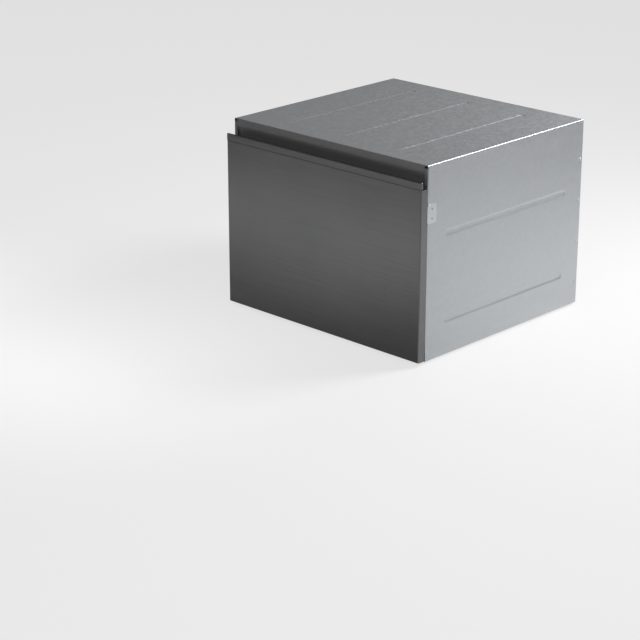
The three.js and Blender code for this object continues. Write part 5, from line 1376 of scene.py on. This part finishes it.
# three cells whose walls are a lattice, under a handle
def makeCutleryBasket():
    lo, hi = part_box("cutlery_basket")
    top = hi.z - cutlery["rise"]
    wall, middle = cutlery["wall"], (lo.y + hi.y) / 2
    body = pulled("cutleryBasket", roundedRectangle(lo.x, hi.x, lo.y, hi.y, cutlery["corner"], 6), "Z", lo.z, top)
    cell = (hi.y - lo.y - wall) / cutlery["cells"]
    cutters = []
    for k in range(cutlery["cells"]):
        y = lo.y + wall + k * cell
        outline = roundedRectangle(lo.x + wall, hi.x - wall, y, y + cell - wall, 3 * mm, 4)
        cutters.append(pulled("cell", outline, "Z", lo.z + wall, top + 5 * mm))
        for j in range(7):
            at = y + (cell - wall) * (j + 1) / 8
            outline = roundedRectangle(lo.x + 8 * mm, hi.x - 8 * mm, at - 2.2 * mm, at + 2.2 * mm, 2 * mm, 4)
            cutters.append(pulled("drain", outline, "Z", lo.z - 5 * mm, lo.z + wall + 0.5 * mm))
    for cutter in cutters:
        cut(body, cutter)
    pitch = (hi.y - lo.y - 16 * mm) / cutlery["slots"]
    windows = []
    for k in range(cutlery["slots"]):
        at = lo.y + 8 * mm + (k + 0.5) * pitch
        outline = roundedRectangle(at - pitch * 0.42, at + pitch * 0.42, lo.z + cutlery["band"], top - cutlery["band"], 3 * mm, 4)
        windows.append(pulled("window", outline, "X", lo.x - 5 * mm, hi.x + 5 * mm))
    cut(body, joinAll("windows", windows))
    roundEdges(body, 0.4 * mm, 2, 50)
    bars = []
    low, high = lo.z + cutlery["band"] - 1 * mm, top - cutlery["band"] + 1 * mm
    half = cutlery["barWidth"] / 2
    for x in (lo.x + 1 * mm, hi.x - 1 * mm):
        for k in range(cutlery["slots"]):
            at = lo.y + 8 * mm + (k + 0.5) * pitch
            for j in range(cutlery["bars"]):
                y = at + ((j + 0.5) / cutlery["bars"] - 0.5) * pitch * 0.84
                bars.append(box("bar", (x - half, y - half, low), (x + half, y + half, high), 0.4 * mm))
        for j in range(cutlery["crossbars"]):
            z = low + (j + 1) * (high - low) / (cutlery["crossbars"] + 1)
            bars.append(box("bar", (x - half, lo.y + 6 * mm, z - half), (x + half, hi.y - 6 * mm, z + half), 0.4 * mm))
    outline = [(lo.x + 0.5 * mm, top - 20 * mm), (hi.x - 0.5 * mm, top - 20 * mm), (hi.x - 0.5 * mm, top)]
    outline += arc(hi.x - 9 * mm, hi.z - 8 * mm, 8 * mm, 0, 90, 6) + arc(lo.x + 9 * mm, hi.z - 8 * mm, 8 * mm, 90, 180, 6)
    outline.append((lo.x + 0.5 * mm, top))
    handle = pulled("handle", outline, "Y", middle - 1.5 * mm, middle + 1.5 * mm)
    grip = roundedRectangle(lo.x + 12 * mm, hi.x - 12 * mm, top - 8 * mm, hi.z - 6 * mm, 6 * mm, 6)
    cut(handle, pulled("grip", grip, "Y", middle - 8 * mm, middle + 8 * mm))
    roundEdges(handle, 0.6 * mm, 3, 50)
    dress(joinAll("cutleryBasket", [body, *bars, handle]), "cutlery_basket", 35)


# detergent dispenser

dispenser = dict(cupX=-0.032, cupWidth=80 * mm, cupDepth=20 * mm, cupLow=0.324, cupHigh=0.368, rinseX=0.050, rinseZ=0.346,
                 rinse=14 * mm, rinseDepth=9 * mm, chamfer=6 * mm, axisZ=0.3175, flapOverlap=4 * mm)


def makeDispenser():
    lo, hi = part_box("detergent_dispenser")
    face, chamfer = hi.y, dispenser["chamfer"]
    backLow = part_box("detergent_dispenser")[0].y + 3.25 * mm
    outline = [(lo.y, hi.z), (backLow, lo.z), (face - chamfer, lo.z)]
    outline += arc(face - chamfer, lo.z + chamfer, chamfer, -90, 0, 5)[1:] + arc(face - chamfer, hi.z - chamfer, chamfer, 0, 90, 5)
    body = pulled("detergentDispenser", outline, "X", lo.x, hi.x)
    x, half = dispenser["cupX"], dispenser["cupWidth"] / 2
    mouth = roundedRectangle(x - half, x + half, dispenser["cupLow"], dispenser["cupHigh"], 6 * mm, 8)
    cut(body, pulled("cup", mouth, "Y", face - dispenser["cupDepth"], face + 5 * mm))
    r = dispenser["rinse"] + gap
    well = spun("well", capped(r, face - dispenser["rinseDepth"] - gap, face + 5 * mm, 0),
                (dispenser["rinseX"], 0, dispenser["rinseZ"]), "Y", 48)
    cut(body, well)
    roundEdges(body, 0.5 * mm, 2, 40)
    ring = [(r + 0.5 * mm, face - 0.3 * mm), (r + 3 * mm, face - 0.3 * mm), (r + 2.6 * mm, face + 0.5 * mm),
            (r + 0.9 * mm, face + 0.5 * mm)]
    collar = spun("collar", ring, (dispenser["rinseX"], 0, dispenser["rinseZ"]), "Y", 56, closed=True)
    latch = box("latch", (x - 9 * mm, face - 1 * mm, 0.3735), (x + 9 * mm, face + 2.6 * mm, 0.3775), 0.8 * mm, 3)
    dress(joinAll("detergentDispenser", [body, collar, latch]), "detergent_dispenser", 35)


def makeFlap():
    lo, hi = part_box("detergent_flap")
    x, axisY = (lo.x + hi.x) / 2, lo.y + 2.5 * mm
    half = (hi.x - lo.x) / 2
    top = dispenser["cupHigh"] + dispenser["flapOverlap"]
    plate = pulled("detergentFlap", roundedRectangle(x - half, x + half, dispenser["axisZ"] - 1 * mm, top, 6 * mm, 6), "Y",
                   axisY - 1.5 * mm, axisY + 1.5 * mm)
    editFaces(plate, lambda centre, normal: normal.y > 0.9)
    bpy.ops.mesh.inset(thickness=3 * mm)
    bpy.ops.mesh.inset(thickness=0.8 * mm)
    bpy.ops.transform.translate(value=(0, -0.7 * mm, 0))
    leaveEdit()
    roundEdges(plate, 0.6 * mm, 3, 50)
    knuckle = spun("knuckle", capped(2.5 * mm, -half, half, 0.5 * mm), (x, axisY, dispenser["axisZ"]), "X", 28)
    grip = box("grip", (x - 12 * mm, axisY + 1 * mm, dispenser["cupHigh"] - 2 * mm),
               (x + 12 * mm, axisY + 5 * mm, dispenser["cupHigh"] + 1 * mm), 0.9 * mm, 3)
    dress(joinAll("detergentFlap", [plate, knuckle, grip]), "detergent_flap", 35)


def makeRinseCap():
    lo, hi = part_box("rinse_cap")
    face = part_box("detergent_dispenser")[1].y
    x, z, r = dispenser["rinseX"], dispenser["rinseZ"], dispenser["rinse"]
    profile = [(0, lo.y), (r, lo.y), (r, face + 0.2 * mm), (r - 0.8 * mm, face + 1 * mm), (r - 2.4 * mm, face + 1 * mm),
               (r - 3 * mm, face + 0.4 * mm), (0, face + 0.4 * mm)]
    disc = spun("rinseCap", profile, (x, 0, z), "Y", 56)
    bar = box("bar", (x - r + 3 * mm, face - 0.5 * mm, z - 2.5 * mm), (x + r - 3 * mm, hi.y, z + 2.5 * mm), 1.2 * mm, 4)
    notches = []
    for k in range(24):
        angle = math.tau * k / 24
        centre = (x + math.cos(angle) * (r - 0.2 * mm), 0, z + math.sin(angle) * (r - 0.2 * mm))
        notches.append(spun("notch", capped(0.5 * mm, face - 2 * mm, face + 0.5 * mm, 0.1 * mm), centre, "Y", 8))
    dress(joinAll("rinseCap", [disc, bar, *notches]), "rinse_cap", 40)


# studio: a pale floor, soft lamps, and the camera at the photograph's angle

studio = dict(floorSize=60, floorTone=0.80, shownTone=0.90, cameraShare=0.78, floorMirror=0.03, skyMirror=0.15, worldTone=0.2)
lamps = {
    "key": dict(place=(0.8, 0.95, 1.35), aim=(-0.25, -0.45, 0.1), size=0.7, power=37),
    "side": dict(place=(2.9, -1.3, 1.5), aim=(0.2, 0, 0.2), size=1.8, power=13),
    "front": dict(place=(1.4, -3.0, 2.4), aim=(0, -0.2, 0.25), size=1.6, power=22),
    "poolLeft": dict(cone=19, place=(-0.95, -1.4, 3.0), aim=(-0.90, -0.88, 0), size=0.6, power=310),
    "poolRight": dict(cone=19, place=(-0.25, -1.4, 3.0), aim=(-0.24, -0.84, 0), size=0.6, power=310),
}
camera = dict(place=(2.968, -3.3726, 1.6133), azimuth=43.88, elevation=20.23, lens=112.09)


# to the camera and in mirrors a surface shows mostly its own pale tone, and lamps light the rest of it
def shownShare(start, mirrorShare):
    path = start.node("ShaderNodeLightPath")
    seen = Socket(start.tree, path.link.node.outputs["Is Camera Ray"])
    glossy = Socket(start.tree, path.link.node.outputs["Is Glossy Ray"])
    through = Socket(start.tree, path.link.node.outputs["Is Transmission Ray"])
    return seen * studio["cameraShare"] + (glossy + through) * mirrorShare


def makeStudio():
    clearSelection()
    bpy.ops.mesh.primitive_plane_add(size=studio["floorSize"], location=(0, 0, 0))
    floor = bpy.context.object
    floor.name = "studioFloor"
    material, shader, place = newFinish("studio floor", Roughness=0.8, Specular_IOR_Level=0.2)
    tone, shown = studio["floorTone"], studio["shownTone"]
    place.feed(shader.inputs["Base Color"], place.shades([tone - 0.01] * 3, [tone + 0.01] * 3, place.noise(3)))
    glow = place.node("ShaderNodeEmission", {}, {"Color": (shown, shown, shown, 1), "Strength": 1.0})
    lit = Socket(place.tree, shader.outputs[0])
    mixed = place.node("ShaderNodeMixShader", {}, {0: shownShare(place, studio["floorMirror"]), 1: lit, 2: glow})
    place.feed(material.node_tree.nodes["Material Output"].inputs["Surface"], mixed)
    floor.data.materials.append(material)
    world = bpy.data.worlds.new("studio")
    bpy.context.scene.world = world
    world.use_nodes = True
    start = Socket(world.node_tree)
    tone = studio["worldTone"]
    light = start.node("ShaderNodeBackground", {}, {"Color": (1, 1, 1, 1), "Strength": tone})
    sky = start.node("ShaderNodeBackground", {}, {"Color": (1, 1, 1, 1), "Strength": shown})
    mixed = start.node("ShaderNodeMixShader", {}, {0: shownShare(start, studio["skyMirror"]), 1: light, 2: sky})
    start.feed(world.node_tree.nodes["World Output"].inputs["Surface"], mixed)
    for name, lamp in lamps.items():
        light = bpy.data.lights.new(name, "SPOT" if "cone" in lamp else "AREA")
        if "cone" in lamp:
            light.spot_size, light.spot_blend = math.radians(lamp["cone"]), 1
            light.shadow_soft_size = lamp["size"] / 2
        else:
            light.shape = "DISK"
            light.size = lamp["size"]
        light.energy = lamp["power"]
        holder = bpy.data.objects.new(name, light)
        bpy.context.scene.collection.objects.link(holder)
        holder.location = lamp["place"]
        aim = Vector(lamp["aim"]) - Vector(lamp["place"])
        holder.rotation_euler = aim.to_track_quat("-Z", "Y").to_euler()
        holder.visible_camera = False


def makeCamera():
    lens = bpy.data.cameras.new("camera")
    lens.lens = camera["lens"]
    holder = bpy.data.objects.new("camera", lens)
    bpy.context.scene.collection.objects.link(holder)
    holder.location = camera["place"]
    holder.rotation_euler = (math.radians(90 - camera["elevation"]), 0, math.radians(camera["azimuth"]))
    lens.clip_start, lens.clip_end = 0.05, 100
    bpy.context.scene.camera = holder


makeCamera()
makeStudio()
makeFrontSkin()
makeHandleRail()
makeFascia()
makeSideTrims()
makeWrapper()
makeSideScrews()
makeFeet()
makeBaseTray()
makeCrossbeam()
makeRearPanel()
makePocket()
makeInletValve()
makeDrainSpigot()
makeMainsGland()
makeModule()
makeBrackets()
print("chassis done")
makeRunners()
makeSideRails()
makeLid()
makeSeal()
makeLidDrive()
print("runners and lid done")
makeCore()
makeControls()
makeTub()
makeMotor()
makeHeater()
makeFilterPlate()
makeFilterBasket()
makeSprayArm()
print("tub and wash system done")
makeDishRack()
makeTineRows()
makeCupRacks()
makeCutleryBasket()
makeDispenser()
makeFlap()
makeRinseCap()
print("rack and dispenser done")

bpy.context.scene.view_settings.view_transform = "Standard"
clearSelection()
